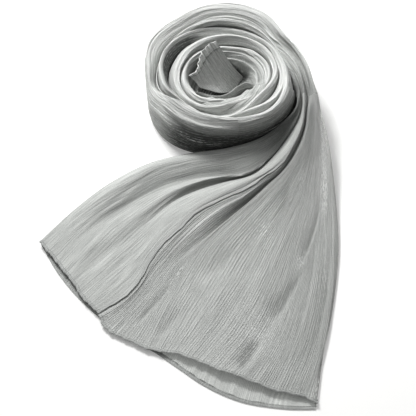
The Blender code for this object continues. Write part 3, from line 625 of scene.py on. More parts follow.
def makeTurn(node):
    look = turnLook[node]
    first, last = look["span"]
    turned = np.linspace(first, last, look["stations"])
    profile = outerProfile(turned) if node == "outer_turn" else innerProfile(turned)
    steps = np.linalg.norm(np.diff(profile, axis=1), axis=2)
    across = np.concatenate((np.zeros((len(turned), 1)), np.cumsum(steps, axis=1)), axis=1)
    rim = across[np.arange(len(turned)), profile[..., 1].argmax(axis=1)][:, None]
    if node == "outer_turn":
        rim = across[:, crestColumn:crestColumn + 1]
    place = coilPlace(turned, profile)
    mid = place[:, profile.shape[1] // 2]
    along = np.concatenate(([0], np.cumsum(np.linalg.norm(np.diff(mid, axis=0), axis=1)))) / mm
    seed, count, widths, heights = look["stray"]
    stray = strayCreases(seed, count, (first, last, 25, 110), (-44, 30), widths, heights, 5)
    off = across - rim
    lift = creaseField(turned, off, [*look["folds"], *stray])
    calm = ease(profile[..., 1], 1.5, 9) * (1 - 0.6 * np.exp(-(off / 1.0) ** 2))
    calm = calm * (ease(turned, first, first + 12) * (1 - ease(turned, last - 10, last)))[:, None]
    if node == "outer_turn":
        # the broad smooth band of the far side
        band = (ease(turned, 40, 62) * (1 - ease(turned, 175, 205)))[:, None]
        calm = calm * (1 - 0.75 * band * ease(off, 0, 1.5))
    normal = gridNormals(place)
    outward = normal[:, :1] * (place[:, :1] - place.mean(axis=1, keepdims=True))
    out = np.sign(np.sum(outward, axis=2, keepdims=True))
    place = place + normal * out * (lift * calm)[..., None] * mm
    place[..., 2] = np.maximum(place[..., 2], 0)
    rows, cols = place.shape[:2]
    uv = np.stack((off * 0.95 * mm, np.broadcast_to(along[:, None] * mm, across.shape)), axis=2)
    uv = uv.reshape(-1, 2)
    piece = newPiece(node + "_cloth", place.reshape(-1, 3), rollFaces(rows, cols), uv, coilCrepe)
    piece.data.set_sharp_from_angle(angle=math.radians(70))
    outwards(piece)
    # painted shade: darker deep below the turn's top on its inner side, and in sunk creases
    top = profile[..., 1].max(axis=1, keepdims=True)
    paintedShade = 0.5 * ease(top - profile[..., 1] - 0.8 * lift, 2.5, 12) * ease(off, 0.8, 3.5)
    paintedShade = paintedShade + 0.45 * ease(-lift, 0.4, 1.5)
    fade = (ease(turned, first, first + 25) * (1 - ease(turned, last - 25, last)))[:, None]
    # painted shade on the near walls of the first two turns, darker towards their foot
    if node in ("outer_turn", "second_turn"):
        near = ease(turned, 205, 235) * (1 - ease(turned, 345, 360))
        paintedShade = np.maximum(paintedShade, near[:, None] * ease(-profile[..., 1], -46.5, -27) * (off < 0))
    # painted highlight on the crown, on raised creases and higher up
    paintedHighlight = look["crownHighlight"] * np.exp(-((off - 0.2) / 1.9) ** 2) * fade
    paintedHighlight = paintedHighlight + 0.30 * ease(lift, 0.3, 1.3) * (0.3 + 0.7 * fade)
    join = ease(turned, -10, 22)[:, None] if node == "outer_turn" else 1.0
    paintedHighlight = paintedHighlight + 0.34 * ease(profile[..., 1], 26, 41) * join
    # less painted highlight on the near wall, which lies in shade
    if node in ("outer_turn", "second_turn"):
        paintedHighlight = paintedHighlight * (1 - 0.8 * near[:, None] * ease(-off, 1, 6))
    if node == "outer_turn":
        # painted shade, a little darker towards the neck, to match the tail's cloth where it leaves
        paintedShade = np.maximum(paintedShade, 0.26 * (1 - ease(turned, -8, 24))[:, None] * ease(profile[..., 1], 18, 34))
    # painted shade in the third turn's dark pocket, with less painted highlight there
    if node == "third_turn":
        pocket = ease(turned, 815, 845) * (1 - ease(turned, 905, 925))
        paintedShade = np.maximum(paintedShade, (pocket[:, None] * ease(off, 2.5, 5.5)))
        paintedHighlight = paintedHighlight * (1 - 0.8 * paintedShade)
    # the threads gleam more on raised creases, a painted glint
    addGleam(piece, 0.35 + 0.5 * ease(lift, 0.3, 1.4), paintedShade, np.clip(paintedHighlight, 0, 0.8))
    return piece


def addGleam(piece, values, paintedShade=None, paintedHighlight=None):
    # the threads' gleam (metallic, and a painted glint), painted shade in folds and hollows, painted highlight on
    # crowns
    size = len(piece.data.vertices)
    for name, given in (("gleam", values), ("fold", paintedShade), ("paintedHighlight", paintedHighlight)):
        layer = piece.data.attributes.new(name, "FLOAT", "POINT")
        layer.data.foreach_set("value", np.asarray(np.zeros(size) if given is None else given,
                                                   np.float32).ravel())


coilPieces = {node: makeTurn(node) for node in turnLook}
print("coil wound")


# the tail

tail = {
    "leftRim": ((94.5, 102, 38), (84.5, 91, 34), (64, 77, 26), (24, 66.5, 15), (-12, 65, 8), (-57, 55, 6.2),
                (-105, 27, 5.6), (-141, -6, 5.5), (-176, -46, 5.5)),
    "softValley": ((98.5, 108, 37), (86, 84, 28), (45, 54, 15.5), (-19, 44, 8.5), (-52, 33, 6.6), (-83, 13, 5.6),
                   (-120, -14, 5.5), (-164.5, -61.5, 5.5)),
    "lightRidge": ((100, 105, 36), (86, 76, 28), (42, 37, 18.5), (-9, 32, 14.5), (-41, 21, 12), (-72, 3, 9),
                   (-104, -22, 6.8), (-150, -80, 5.5)),
    "darkValley": ((101, 103, 33), (93, 85, 28), (79, 66, 23), (62, 48, 17), (50, 38, 13.5), (13, 28, 9.8),
                   (-9, 20, 8), (-30, 9, 6.8), (-61, -19, 5.8), (-88, -47, 5.6), (-136.5, -99.5, 5.5)),
    "leftFlat": ((102, 102, 36), (97, 81, 32), (84, 57, 27), (56, 33, 18), (24, 19, 14), (-4, 4, 11.5),
                 (-44, -24, 8.2), (-70, -56, 6.5), (-126, -116, 5.6)),
    "longEdge": ((104, 100, 38), (102, 86, 35), (91, 59, 28), (84, 47.5, 24), (73, 36, 20.5), (57, 26, 16.5),
                 (42, 15.5, 13.8), (15, 3, 11.8), (-8, -10, 10.2), (-31, -33, 8.6), (-58, -66, 7), (-69, -91, 5.8),
                 (-90, -115, 5.5), (-112, -130, 5.5)),
    "narrowRidge": ((105.2, 100, 35), (103, 84, 31), (92.3, 59, 25), (76, 34.5, 17.5), (58, 22, 13.5), (38, 7, 10.8),
                    (12, -8, 8.6), (-22, -38, 6.2), (-52, -76, 4.6), (-84, -123, 4.0), (-106.5, -144, 4.0)),
    "deepValley": ((106, 99, 32), (104.5, 86, 29), (94, 59, 22.5), (87, 46.5, 18.5), (77, 34, 15), (66, 24.5, 12),
                   (50, 9, 8.6), (29, -11, 6.2), (2, -36, 4.8), (-26, -65, 4.2), (-50, -102, 3.9), (-88, -157, 4.0)),
    "panelRidge": ((109.5, 104, 39.5), (108, 89, 36), (102, 64, 29.5), (85, 37, 21), (57, 9, 13), (32, -15, 8.6),
                   (0, -50, 6.2), (-28, -100, 5.0), (-60, -170, 4.6)),
    "panelCrest": ((113, 105, 40), (112.5, 85, 35), (108, 58, 27.5), (97, 27, 18), (80, -5, 11), (56, -44, 7),
                   (24, -104, 5.4), (-4, -150, 5.6), (-24, -179.7, 7.4)),
    "panelMiddle": ((117, 100, 38.5), (117.5, 75, 31.5), (115, 45, 21.5), (108, 5, 12), (94, -45, 7), (75, -105, 5.2),
                    (50, -160, 5.8), (20, -198.8, 8.8)),
    "panelRight": ((119.9, 100.5, 36.2), (122, 75, 28.8), (122.5, 45, 19.5), (120.5, 0, 10.4), (114, -50, 6),
                   (103, -110, 5), (84, -170, 5.2), (62, -215.1, 7.0)),
    "rightSlope": ((122.4, 100.5, 32.8), (126.5, 72, 25.8), (130, 35, 16.5), (131, -8, 8.6), (129.5, -55, 6.2),
                   (124, -115, 4.9), (111, -175, 4.6), (94, -223.3, 5.2)),
    "rightEdge": ((123.4, 108, 22), (126.6, 95, 22), (130.8, 69, 19), (134.4, 29, 12.0), (136.2, -12, 6.4),
                  (135.6, -54, 4.6), (131, -95, 3.9), (124, -136, 3.6), (115, -175, 3.5), (105.5, -228.6, 4.4))}
foldNames = list(tail)
edgeMark = foldNames.index("longEdge")
footMark = len(foldNames)
tailLength = 0.345                             # m, from the neck to the hem
hemPart = 0.004 / tailLength                   # the hem's share of it


def tailLines():
    # each fold's line, started a little way back on the outer turn so that the cloth runs on
    angles = np.array((0.0, -10.0))
    skin = outerSkin(angles, np.arange(footMark, dtype=float))
    lines = []
    for k, name in enumerate(foldNames):
        start = [(coilMiddle[0] + r * math.cos(math.radians(a)),
                  coilMiddle[1] + r * math.sin(math.radians(a)), z)
                 for a, (r, z) in zip(angles, skin[:, k])]
        points = np.array(start + [p for p in tail[name]], float)
        steps = np.linalg.norm(np.diff(points, axis=0), axis=1)
        part = (np.concatenate(([0], np.cumsum(steps))) - steps[0]) / steps[1:].sum()
        lines.append((part, points))
    return lines


foldLines = tailLines()


def tailSurface(along, across):
    # the tail's visible surface in mm: rows from neck to hem, columns across the folds; -1 is the rolled rim's
    # foot
    along = np.atleast_1d(np.asarray(along, float))
    lines = np.stack([smoothRows(part, points, along) for part, points in foldLines], axis=1)
    rimPart, rimPoints = foldLines[0]
    before = np.stack([smoothRows(rimPart, rimPoints, along + s) for s in (-0.01, 0.01)])
    run = (before[1] - before[0])[:, :2]
    run /= np.linalg.norm(run, axis=1, keepdims=True)
    side = np.column_stack((run[:, 1], -run[:, 0], np.zeros(len(along))))
    rim = lines[:, 0]
    roll = rim + side * 1.5 - (0, 0, 2.4)
    root = rim + side * np.interp(along, (0, 0.25, 0.6), (3.4, 1.6, 0.4))[:, None]
    root[:, 2] = np.interp(along, (0, 0.35, 0.5, 0.7, 1), (2, 1.2, 1.4, 2.4, 3.4))
    roll[:, 2] = np.maximum(roll[:, 2], 0.5 * (rim[:, 2] + root[:, 2]))
    foot = lines[:, -1] + np.array((1.0, 0, 0)) * (-2.6 + 3.5 * ease(along, 0, 0.22))[:, None]
    foot[:, 2] = 1.9 * ease(along, 0.0, 0.1)
    lines = np.concatenate((root[:, None], roll[:, None], lines, foot[:, None]), axis=1)
    return acrossRows(lines, tailMarks, across)


tailMarks = np.concatenate(((-1.0, -0.45), np.arange(footMark + 1)))
# where each mark lies along the hem, mm
hemMark = np.array((-8, -3, 0, 19, 43, 66, 86, 105, 119, 142, 172, 210, 258, 303, 336, 349, 351), float)


def clothAcross(across):
    return np.interp(across, tailMarks, hemMark)


# the left panel's height in mm: a row for each part of the length, a column for each fold mark
leftHeights = {
    "marks": (0, 0.4, 1, 1.5, 1.9, 2.2, 2.54, 2.76, 2.96, 3.1, 3.5, 4, 4.6, 5),
    "rows": ((0.12, (32.8, 31.6, 29.8, 29.9, 30.0, 29.4, 28.6, 27.6, 27.2, 27.6, 29.6, 32.0, 33.8, 33.8)),
             (0.20, (24.4, 24.6, 23.4, 22.0, 20.8, 20.2, 19.6, 19.0, 18.6, 19.4, 23.0, 26.2, 27.6, 27.1)),
             (0.30, (17.2, 19.4, 18.4, 16.4, 14.7, 14.7, 14.8, 12.6, 10.2, 11.0, 15.2, 18.4, 19.3, 18.7)),
             (0.40, (10.2, 14.0, 12.6, 10.2, 9.0, 11.0, 12.8, 10.0, 6.6, 7.8, 11.4, 14.2, 14.2, 13.2)),
             (0.50, (7.0, 12.2, 9.2, 6.5, 6.4, 9.4, 11.5, 8.8, 5.6, 6.6, 9.4, 11.5, 11.8, 11.1)),
             (0.60, (6.2, 11.0, 7.0, 5.0, 6.6, 8.4, 9.7, 7.8, 5.0, 5.9, 7.6, 9.1, 9.6, 9.2)),
             (0.70, (5.8, 9.6, 6.6, 4.4, 5.9, 7.1, 8.0, 6.7, 5.0, 5.4, 6.2, 7.4, 7.9, 7.7)),
             (0.80, (5.5, 7.6, 6.8, 4.5, 5.3, 6.2, 6.4, 5.6, 5.0, 5.3, 5.8, 6.2, 6.4, 6.3)),
             (0.87, (5.5, 6.6, 6.4, 5.0, 5.8, 6.5, 5.0, 3.4, 4.6, 5.3, 5.7, 6.0, 6.1, 6.0)),
             (0.94, (5.5, 5.9, 5.7, 5.4, 5.7, 5.9, 5.3, 4.8, 5.3, 5.4, 5.6, 5.8, 5.7, 5.6)),
             (1.00, (5.5, 5.5, 5.5, 5.5, 5.5, 5.5, 5.5, 5.5, 5.5, 5.5, 5.5, 5.6, 5.6, 5.5)))}

# creases: path of (part of the length, fold mark), reach to the low and the high side in marks,
# height in mm
tailCreases = {
    "left": ((((0.60, 3.9), (0.75, 3.8), (0.95, 3.7)), 0.35, 0.15, -0.8),
             (((0.16, 4.62), (0.34, 4.60), (0.60, 4.66)), 0.10, 0.20, -0.9),
             (((0.48, 0.62), (0.62, 0.72), (0.80, 0.9)), 0.14, 0.08, -0.6),
             (((0.66, 0.95), (0.78, 1.0), (0.93, 1.1)), 0.35, 0.12, -0.8),
             (((0.52, 2.62), (0.62, 2.72), (0.76, 2.78)), 0.16, 0.06, -0.7),
             (((0.34, 1.62), (0.5, 1.7), (0.72, 1.75)), 0.10, 0.2, 0.5)),
    "right": ((((0.20, 5.95), (0.45, 6.10), (0.74, 6.15)), 0.35, 0.38, 2.6),
              (((0.22, 6.60), (0.38, 6.84), (0.55, 6.90), (0.76, 6.94)), 0.22, 0.07, -1.8),
              (((0.22, 8.35), (0.32, 7.45), (0.42, 7.15), (0.55, 7.35), (0.74, 7.65)), 0.20, 0.30, 1.2),
              (((0.76, 7.60), (0.86, 7.25), (0.97, 7.00)), 0.22, 0.16, -1.7),
              (((0.83, 8.32), (0.90, 8.20), (0.97, 8.08)), 0.16, 0.12, -1.4),
              (((0.58, 10.50), (0.68, 10.25), (0.80, 10.08)), 0.26, 0.12, -2.2),
              (((0.84, 10.02), (0.91, 10.08), (0.995, 10.2)), 0.28, 0.09, -2.8),
              (((0.66, 10.12), (0.78, 10.03), (0.88, 10.03)), 0.25, 0.12, -1.3),
              (((0.55, 8.68), (0.65, 8.53), (0.76, 8.32)), 0.28, 0.14, -1.3),
              (((0.28, 8.60), (0.38, 8.93), (0.48, 9.15)), 0.22, 0.14, -1.1),
              (((0.34, 10.95), (0.45, 10.70), (0.60, 10.30)), 0.28, 0.07, -1.9),
              (((0.40, 9.60), (0.60, 9.50), (0.85, 9.40)), 0.35, 0.30, 0.9),
              (((0.62, 8.95), (0.8, 8.85), (0.98, 8.80)), 0.30, 0.35, 0.9),
              (((0.45, 11.30), (0.65, 11.10), (0.90, 10.95)), 0.25, 0.25, 1.0),
              (((0.50, 11.85), (0.70, 11.70), (0.97, 11.60)), 0.28, 0.14, -1.3),
              (((0.30, 12.20), (0.55, 12.20), (0.80, 12.25)), 0.30, 0.25, 0.8),
              (((0.68, 9.05), (0.80, 9.15), (0.93, 9.30)), 0.20, 0.11, -1.0))}

# small steps of the long edge, where the crinkle pulls it: part of the length, its reach, mm sideways
edgeSteps = ((0.24, 0.012, 0.7), (0.31, 0.010, -0.9), (0.355, 0.014, 1.0), (0.43, 0.010, -0.8), (0.50, 0.016, 0.9),
             (0.565, 0.010, -0.7), (0.62, 0.014, 1.0), (0.69, 0.012, -0.8), (0.75, 0.018, 0.9), (0.83, 0.014, -0.9),
             (0.90, 0.012, 0.8), (0.96, 0.010, -0.6))


def hemJag(across):
    # the hem's small ins and outs in mm, by fold mark
    u = np.asarray(across, float)
    slow = 0.55 * np.sin(4.1 * u) + 0.45 * np.sin(9.7 * u + 1.0)
    return slow + 0.35 * np.sin(17.3 * u + 2.2) + 0.25 * np.sin(31 * u)


# each panel: the small creases' seed, how many, and their heights in mm; its wall in mm
panels = {"left": {"seed": 21, "strays": 30, "heights": (0.06, 0.26), "wall": 0.9},
          "right": {"seed": 22, "strays": 130, "heights": (0.10, 0.36), "wall": 0.9}}
tailDepth = {}


def tailShape(along, across, which, strays=True):
    along = np.atleast_1d(np.asarray(along, float))
    across = np.asarray(across, float)
    p = tailSurface(along, across)
    low, high = (0, edgeMark) if which == "left" else (edgeMark, footMark)
    look = panels[which]
    stray = strayCreases(look["seed"], look["strays"] if strays else 0, (0.03, 0.98, 0.2, 0.55), (low, high),
                         (0.025, 0.09), look["heights"], 0.10)
    wide = np.broadcast_to(across, p.shape[:2])
    if which == "left":
        rows = np.array([heights for _, heights in leftHeights["rows"]], float)
        parts = [part for part, _ in leftHeights["rows"]]
        wanted = acrossRows(smoothRows(parts, rows, along)[..., None], leftHeights["marks"],
                            np.maximum(across, 0))[..., 0]
        share = ease(along, 0.05, 0.2)[:, None] * ease(wide, -0.45, 0.0)
        p[..., 2] += (wanted - p[..., 2]) * share
    field = creaseField(along, wide, [*tailCreases[which], *stray])
    field *= ease(along, 0.0, 0.14)[:, None] * ease(wide, -0.5, 0.15)
    p[..., 2] = np.maximum(p[..., 2] + field, np.minimum(p[..., 2], 3.1))
    tailDepth[which] = (along, across, field)
    # steps of the long edge and ins and outs of the hem, both within the cloth's plane
    pull = sum(size * np.exp(-((along - spot) / reach) ** 2) for spot, reach, size in edgeSteps)
    near = np.exp(-((wide - edgeMark) / 0.12) ** 2) if which == "left" else 0 * wide
    p[..., 0] += 0.75 * pull[:, None] * near
    p[..., 1] += -0.65 * pull[:, None] * near
    jag = hemJag(across)[None, :] * ease(along, 0.965, 1.0)[:, None] * ease(wide, -0.2, 0.6)
    p[..., 0] += -0.25 * jag
    p[..., 1] += -0.85 * jag
    return p


def sheetPiece(name, top, thick, across, along, material, gleam, paintedShade=None, paintedHighlight=None):
    # cloth from its top grid in mm, with a wall of its own thickness
    rows, cols = top.shape[:2]
    normal = gridNormals(top)
    if normal[rows // 2, cols // 2, 2] < 0:
        normal = -normal
    low = top - normal * thick
    low[..., 2] = np.maximum(low[..., 2], 0.05)
    verts = np.concatenate((top.reshape(-1, 3), low.reshape(-1, 3))) * mm + planShift
    uvTop = np.stack((np.broadcast_to(clothAcross(across) * mm, (rows, cols)),
                      np.broadcast_to(along[:, None] * tailLength, (rows, cols))), axis=2).reshape(-1, 2)
    piece = newPiece(name, verts, sheetFaces(rows, cols), np.concatenate((uvTop, uvTop)), material)
    outwards(piece)
    piece.data.set_sharp_from_angle(angle=math.radians(60))
    addGleam(piece, twice(gleam), twice(paintedShade), twice(paintedHighlight))
    return piece


# patches of painted glint, where the metallic threads are drawn lighter and glowing as if they caught the light:
# part of the length, fold mark, size along and across, strength
gleams = ((0.20, 11.0, 0.12, 0.7, 0.9), (0.33, 11.25, 0.08, 0.35, 1.3), (0.29, 9.2, 0.05, 0.3, 0.8),
          (0.50, 8.9, 0.04, 0.3, 0.7), (0.73, 7.5, 0.06, 0.25, 1.1), (0.56, 10.3, 0.04, 0.25, 0.8),
          (0.96, 12.9, 0.04, 0.5, 1.2), (0.84, 10.0, 0.08, 0.6, 0.5), (0.08, 12.2, 0.08, 0.8, 1.0),
          (0.60, 11.6, 0.10, 0.4, 0.5), (0.42, 6.1, 0.12, 0.3, 0.5), (0.14, 12.0, 0.16, 1.1, 0.6))


def tailGleam(along, across, base):
    # painted glint: a base, with the listed patches where the threads gleam
    field = np.full((len(along), len(across)), base)
    for v, u, dv, du, strength in gleams:
        field += strength * np.exp(-((along[:, None] - v) / dv) ** 2 - ((across[None, :] - u) / du) ** 2)
    # less on the side that stands upright at the neck, and as on the coil where the tail leaves it
    field *= 1 - 0.7 * ease(across, 12.4, 13.4)[None, :] * (1 - ease(along, 0.3, 0.6))[:, None]
    return 0.35 + (field - 0.35) * ease(along, 0, 0.08)[:, None]


# painted shade in the deep valleys: start and end of the length, fold mark, reach in marks, strength
valleyShade = {"left": ((0.12, 0.62, 2.78, 0.16, 0.45), (0.30, 0.85, 1.45, 0.35, 0.40)),
               "right": ((0.06, 0.60, 6.62, 0.20, 0.60), (0.05, 0.45, 7.05, 0.15, 0.25))}


def tailShadeAndHighlight(which):
    along, across, field = tailDepth[which]
    fade = ease(along, 0.02, 0.15)[:, None]
    # painted highlight on raised creases
    paintedHighlight = ease(field, 0.3, 1.8) * 0.16 * fade
    if which == "right":
        # painted highlight along the outer edge near the neck
        shining = np.exp(-((along - 0.12) / 0.26) ** 2)[:, None] * ease(across, 8.6, 10.6)[None, :]
        shining = shining * (1 - 0.9 * ease(across, 12.3, 13.3))[None, :]
        paintedHighlight = paintedHighlight + 0.74 * shining
        # painted highlight, a little lighter on the panel's left part towards the hem
        paintedHighlight = paintedHighlight + 0.10 * ease(along, 0.5, 0.8)[:, None] * (1 - ease(across, 10, 11.5))[None, :]
    # painted highlight: the neck drawn as light as the coil that it leaves
    neck = np.exp(-(along / 0.07) ** 2)[:, None]
    neck = neck * (ease(across, 2.2, 3.6) * (1 - ease(across, 12.3, 13.3)))[None, :]
    paintedHighlight = paintedHighlight + 0.26 * neck
    # painted shade in sunk creases
    paintedShade = ease(-field, 0.25, 2.6) * 0.42 * fade
    if which == "left":
        # painted shadow of the coil on the left panel near the neck
        shadow = 0.85 * np.exp(-((along - 0.14) / 0.13) ** 2)[:, None]
        paintedShade = paintedShade + shadow * (1 - ease(across, 2.0, 4.0))[None, :]
    for start, end, mark, reach, strength in valleyShade[which]:
        stretch = ease(along, start, start + 0.1) * (1 - ease(along, end - 0.15, end))
        paintedShade = paintedShade + strength * stretch[:, None] * np.exp(-((across - mark) / reach) ** 2)[None, :]
    return np.clip(paintedShade, 0, 0.95), np.clip(paintedHighlight, 0, 0.8)


def makeTail():
    along = np.concatenate((np.linspace(0, 0.4, 125, endpoint=False), np.linspace(0.4, 1 - hemPart, 130)))
    leftAcross = np.concatenate((np.linspace(-1, 0.3, 18, endpoint=False), np.linspace(0.3, edgeMark, 112)))
    left = tailShape(along, leftAcross, "left")
    left[:, -2:, 2] -= np.array((0.1, 0.35))
    pieces = {"left": sheetPiece("left_panel_cloth", left, panels["left"]["wall"], leftAcross, along,
                                 smoothCrepe, tailGleam(along, leftAcross, 0.18), *tailShadeAndHighlight("left"))}
    rightAcross = np.concatenate((np.linspace(edgeMark - 0.35, edgeMark + 0.1, 8, endpoint=False),
                                  np.linspace(edgeMark + 0.1, footMark - 1, 172, endpoint=False),
                                  np.linspace(footMark - 1, footMark, 7)))
    right = tailShape(along, rightAcross, "right")
    right[..., 2] -= tailStep(rightAcross)
    pieces["right"] = sheetPiece("right_panel_cloth", right, panels["right"]["wall"], rightAcross, along,
                                 tailCrepe, tailGleam(along, rightAcross, 0.2), *tailShadeAndHighlight("right"))
    return pieces


def tailStep(across):
    # how far the right panel lies below the left one's long edge, mm
    return 0.9 * (1 - ease(across, edgeMark + 0.02, edgeMark + 0.24))


tailPieces = makeTail()

underLayer = {
    "pleats": ((0.50, 0.010, 0.8), (0.575, 0.008, 1.4), (0.60, 0.006, -0.6), (0.632, 0.008, 1.8),
               (0.655, 0.006, -0.6), (0.668, 0.007, 1.5), (0.70, 0.009, 1.0), (0.76, 0.012, 0.8),
               (0.84, 0.012, 0.7), (0.44, 0.012, 0.6)),
    "rows": (((-8, 60), (124, 86)), ((-40, 56), (129.5, 68)), ((-58, 51), (132, 45)), ((-104, 24), (134.5, 5)),
             ((-139, -8), (134, -45)), ((-155, -25), (130, -92)), ((-165, -36), (123.5, -132)),
             ((-170, -41), (115, -172))),
    "hem": ((-175.5, -45.5), (-156.5, -79.5), (-137, -105.5), (-112, -131.5), (-86, -154.5), (-57, -170), (-28, -191),
            (-8, -206), (14, -218.5), (34, -226.5), (62, -232), (82, -234), (106, -234))}


def makeUnderLayer():
    ends = [pathRows([(*row[k], 0) for row in underLayer["rows"]]) for k in (0, 1)]
    hemLine = pathRows([(x, y, 0) for x, y in underLayer["hem"]])
    across = np.linspace(0, 1, 120)
    rim = smoothRows(*hemLine, across)
    along = np.linspace(0, 0.93, 26)
    left, right = (smoothRows(*e, along) for e in ends)
    body = left[:, None] + (right - left)[:, None] * across[None, :, None]
    away = body[-1] - rim
    away /= np.linalg.norm(away, axis=1, keepdims=True)
    inner = rim + away * 4.0
    more = body[-1][None] + (inner - body[-1])[None] * np.linspace(0, 1, 14)[1:, None, None]
    flat = np.concatenate((body, more))
    dice = np.random.default_rng(31)
    reach = np.linspace(0, 1, len(flat))
    flat[..., 2] = 1.15
    for _ in range(26):
        place, width = dice.uniform(0.05, 0.98), dice.uniform(0.006, 0.018)
        bump = dice.uniform(-0.3, 0.35) * np.exp(-((across - place) / width) ** 2)
        flat[..., 2] += bump[None] * ease(reach, 0.5, 0.9)[:, None]
    for place, width, height in underLayer["pleats"]:
        bump = height * np.exp(-((across - place) / width) ** 2)
        flat[..., 2] += bump[None] * ease(reach, 0.55, 0.95)[:, None]
    flat[..., 2] = np.maximum(flat[..., 2], 0.95)
    strip = np.stack([inner, inner * 0.5 + rim * 0.5, rim])
    strip[..., 2] = np.array((1.15, 1.5, 1.1))[:, None]
    scale = np.linspace(0, footMark, len(across))
    sheet = sheetPiece("under_layer_cloth", flat, 0.9, scale, np.linspace(0, 0.98, len(flat)), underCrepe,
                       np.full(flat.shape[:2], 0.3))
    # painted light: a faint glow in the mouth under the lifted hem, for light through the cloth above
    paintedGlow = (ease(across, 0.40, 0.52) * (1 - 0.2 * ease(across, 0.72, 0.86)))[None, :] + 0 * flat[..., 0]
    layer = sheet.data.attributes.new("paintedGlow", "FLOAT", "POINT")
    layer.data.foreach_set("value", twice(paintedGlow).astype(np.float32))
    hem = sheetPiece("under_hem_cloth", strip, 1.1, scale, np.array((0.985, 0.99, 1.0)), hemCrepe,
                     np.full(strip.shape[:2], 0.3))
    return sheet, hem, np.stack((inner + (rim - inner) * 0.25, rim), axis=0)


underSheet, underHem, underStitchLine = makeUnderLayer()


def makeHems():
    made = {}
    part = np.array((1 - hemPart, 1 - 0.8 * hemPart, 1 - 0.45 * hemPart, 1 - 0.12 * hemPart, 1.0))
    raised = np.array((0.0, 0.45, 0.55, 0.4, -0.1))
    for name, which, low, high, columns in (("left_hem_cloth", "left", -0.45, edgeMark, 120),
                                            ("right_hem_cloth", "right", edgeMark - 0.3, footMark - 0.02, 200)):
        across = np.linspace(low, high, columns)
        top = tailShape(part, across, which)
        if which == "right":
            top[..., 2] -= tailStep(across)
        top[..., 2] += raised[:, None]
        made[name] = sheetPiece(name, top, 1.3, across, part, hemCrepe, np.full(top.shape[:2], 0.3))
    along = np.linspace(0.3, 1 - hemPart, 220)
    back = tailSurface(along, np.array((edgeMark - 1.0, edgeMark)))
    width = 2.6 / np.linalg.norm(back[:, 1] - back[:, 0], axis=1)
    rows = []
    for share, lift in ((1.0, -0.15), (0.85, 0.08), (0.5, 0.2), (0.15, 0.15), (0.0, -0.1), (-0.03, -0.45)):
        marks = edgeMark - share * width
        line = np.array([tailShape(along[i:i + 1], np.array((marks[i],)), "left", strays=False)[0, 0]
                         for i in range(len(along))])
        line[:, 2] += lift
        rows.append(line)
    strip = np.stack(rows, axis=1)
    made["long_edge_hem_cloth"] = sheetPiece("long_edge_hem_cloth", strip, 0.8,
                                             np.linspace(edgeMark - 0.15, edgeMark, 6), along, hemCrepe,
                                             np.full(strip.shape[:2], 0.3))
    return made


hemPieces = makeHems()
print("tail laid out")


# the upturned end and the middle

coilEnd = {
    "hem": ((9, 186, 50), (2, 184, 48), (-3, 180, 46), (-7, 175, 44), (-9, 169, 42.5), (-10.5, 161, 41),
            (-12, 154, 39.5), (-16, 150.5, 38.5), (-21, 148.5, 37)),
    "fall": ((26, 171, 28), (19, 166, 23), (13, 162, 20), (8, 158, 19), (4, 155, 19), (0, 152, 21), (-4, 149, 24.5),
             (-9, 147, 28), (-14, 145, 31)),
    "toe": ((41, 165, 10), (35, 157, 7), (29, 151, 6), (22, 147, 8), (16, 144, 11), (10, 142, 15), (4, 141, 19),
            (-3, 140.5, 23), (-9, 140, 27)),
    "fold": ((-14, 132, 29), (-8, 131.5, 28), (2, 129, 27), (13, 128, 27), (24, 132, 28), (33, 139, 30),
             (43, 143, 31), (50, 141, 31), (53, 138.5, 31)),
    "puckers": ((0.06, 0.9), (0.14, -0.7), (0.2, 0.8), (0.29, 1.0), (0.36, -0.8), (0.43, 0.9), (0.5, -0.6),
                (0.57, 0.8), (0.64, -0.9), (0.71, 0.7), (0.79, -0.8), (0.86, 0.8), (0.93, -0.6)),
    "hemWidth": 0.12, "floor": 4.2}


def endSurface(v, u):
    rows = np.stack([smoothRows(*pathRows(coilEnd[k]), u) for k in ("hem", "fall", "toe")], axis=0)
    return acrossRows(np.swapaxes(rows, 0, 1), (0, 0.5, 1), v).swapaxes(0, 1)


def makeEnd():
    u = np.linspace(0, 1, 130)
    made = []
    for name, v, thick, material, raised in (
            ("centre_end_cloth", np.linspace(coilEnd["hemWidth"], 1, 90), 0.8, coilCrepe, None),
            ("centre_hem_cloth", np.linspace(0, coilEnd["hemWidth"], 6), 1.2, hemCrepe,
             (0.1, 0.35, 0.45, 0.4, 0.3, 0.0))):
        top = endSurface(v, u)
        normal = gridNormals(top)
        normal *= np.sign(normal[..., 2:3] + 1e-9)
        lift = np.zeros((len(v), len(u)))
        for place, height in coilEnd["puckers"]:
            reach = np.exp(-np.maximum(v - 0.06, 0) / (0.12 + 0.25 * abs(height) * (place > 0.3)))[:, None]
            lift += height * 1.5 * np.exp(-(np.abs(u - place - 0.03 * v[:, None]) / 0.018) ** 1.6) * reach
        if raised:
            lift += np.array(raised)[:, None]
        top = top + normal * lift[..., None]
        low = top - normal * thick
        rows, cols = len(v), len(u)
        verts = np.concatenate((top.reshape(-1, 3), low.reshape(-1, 3))) * mm + planShift
        uvTop = np.stack((np.broadcast_to(u * 0.13, (rows, cols)),
                          np.broadcast_to(v[:, None] * 0.05, (rows, cols))), axis=2).reshape(-1, 2)
        piece = newPiece(name, verts, sheetFaces(rows, cols), np.concatenate((uvTop, uvTop)), material)
        outwards(piece)
        piece.data.set_sharp_from_angle(angle=math.radians(60))
        # painted highlight on the hem and fading down the cloth, painted shade in a line under it and between the
        # puckers
        light = 0.8 + 0 * v if raised else 0.55 * (1 - v) ** 0.7
        hemShadow = 0 * v if raised else 0.55 * np.exp(-((v - coilEnd["hemWidth"]) / 0.03) ** 2)
        paintedShade = hemShadow[:, None] + ease(-lift, 0.1, 1.0) * (0.75 if raised else 0.4)
        addGleam(piece, np.full(2 * rows * cols, 0.8), twice(paintedShade), twice(light[:, None] * (1 - paintedShade)))
        made.append(piece)
    return made


endCloth, endHem = makeEnd()


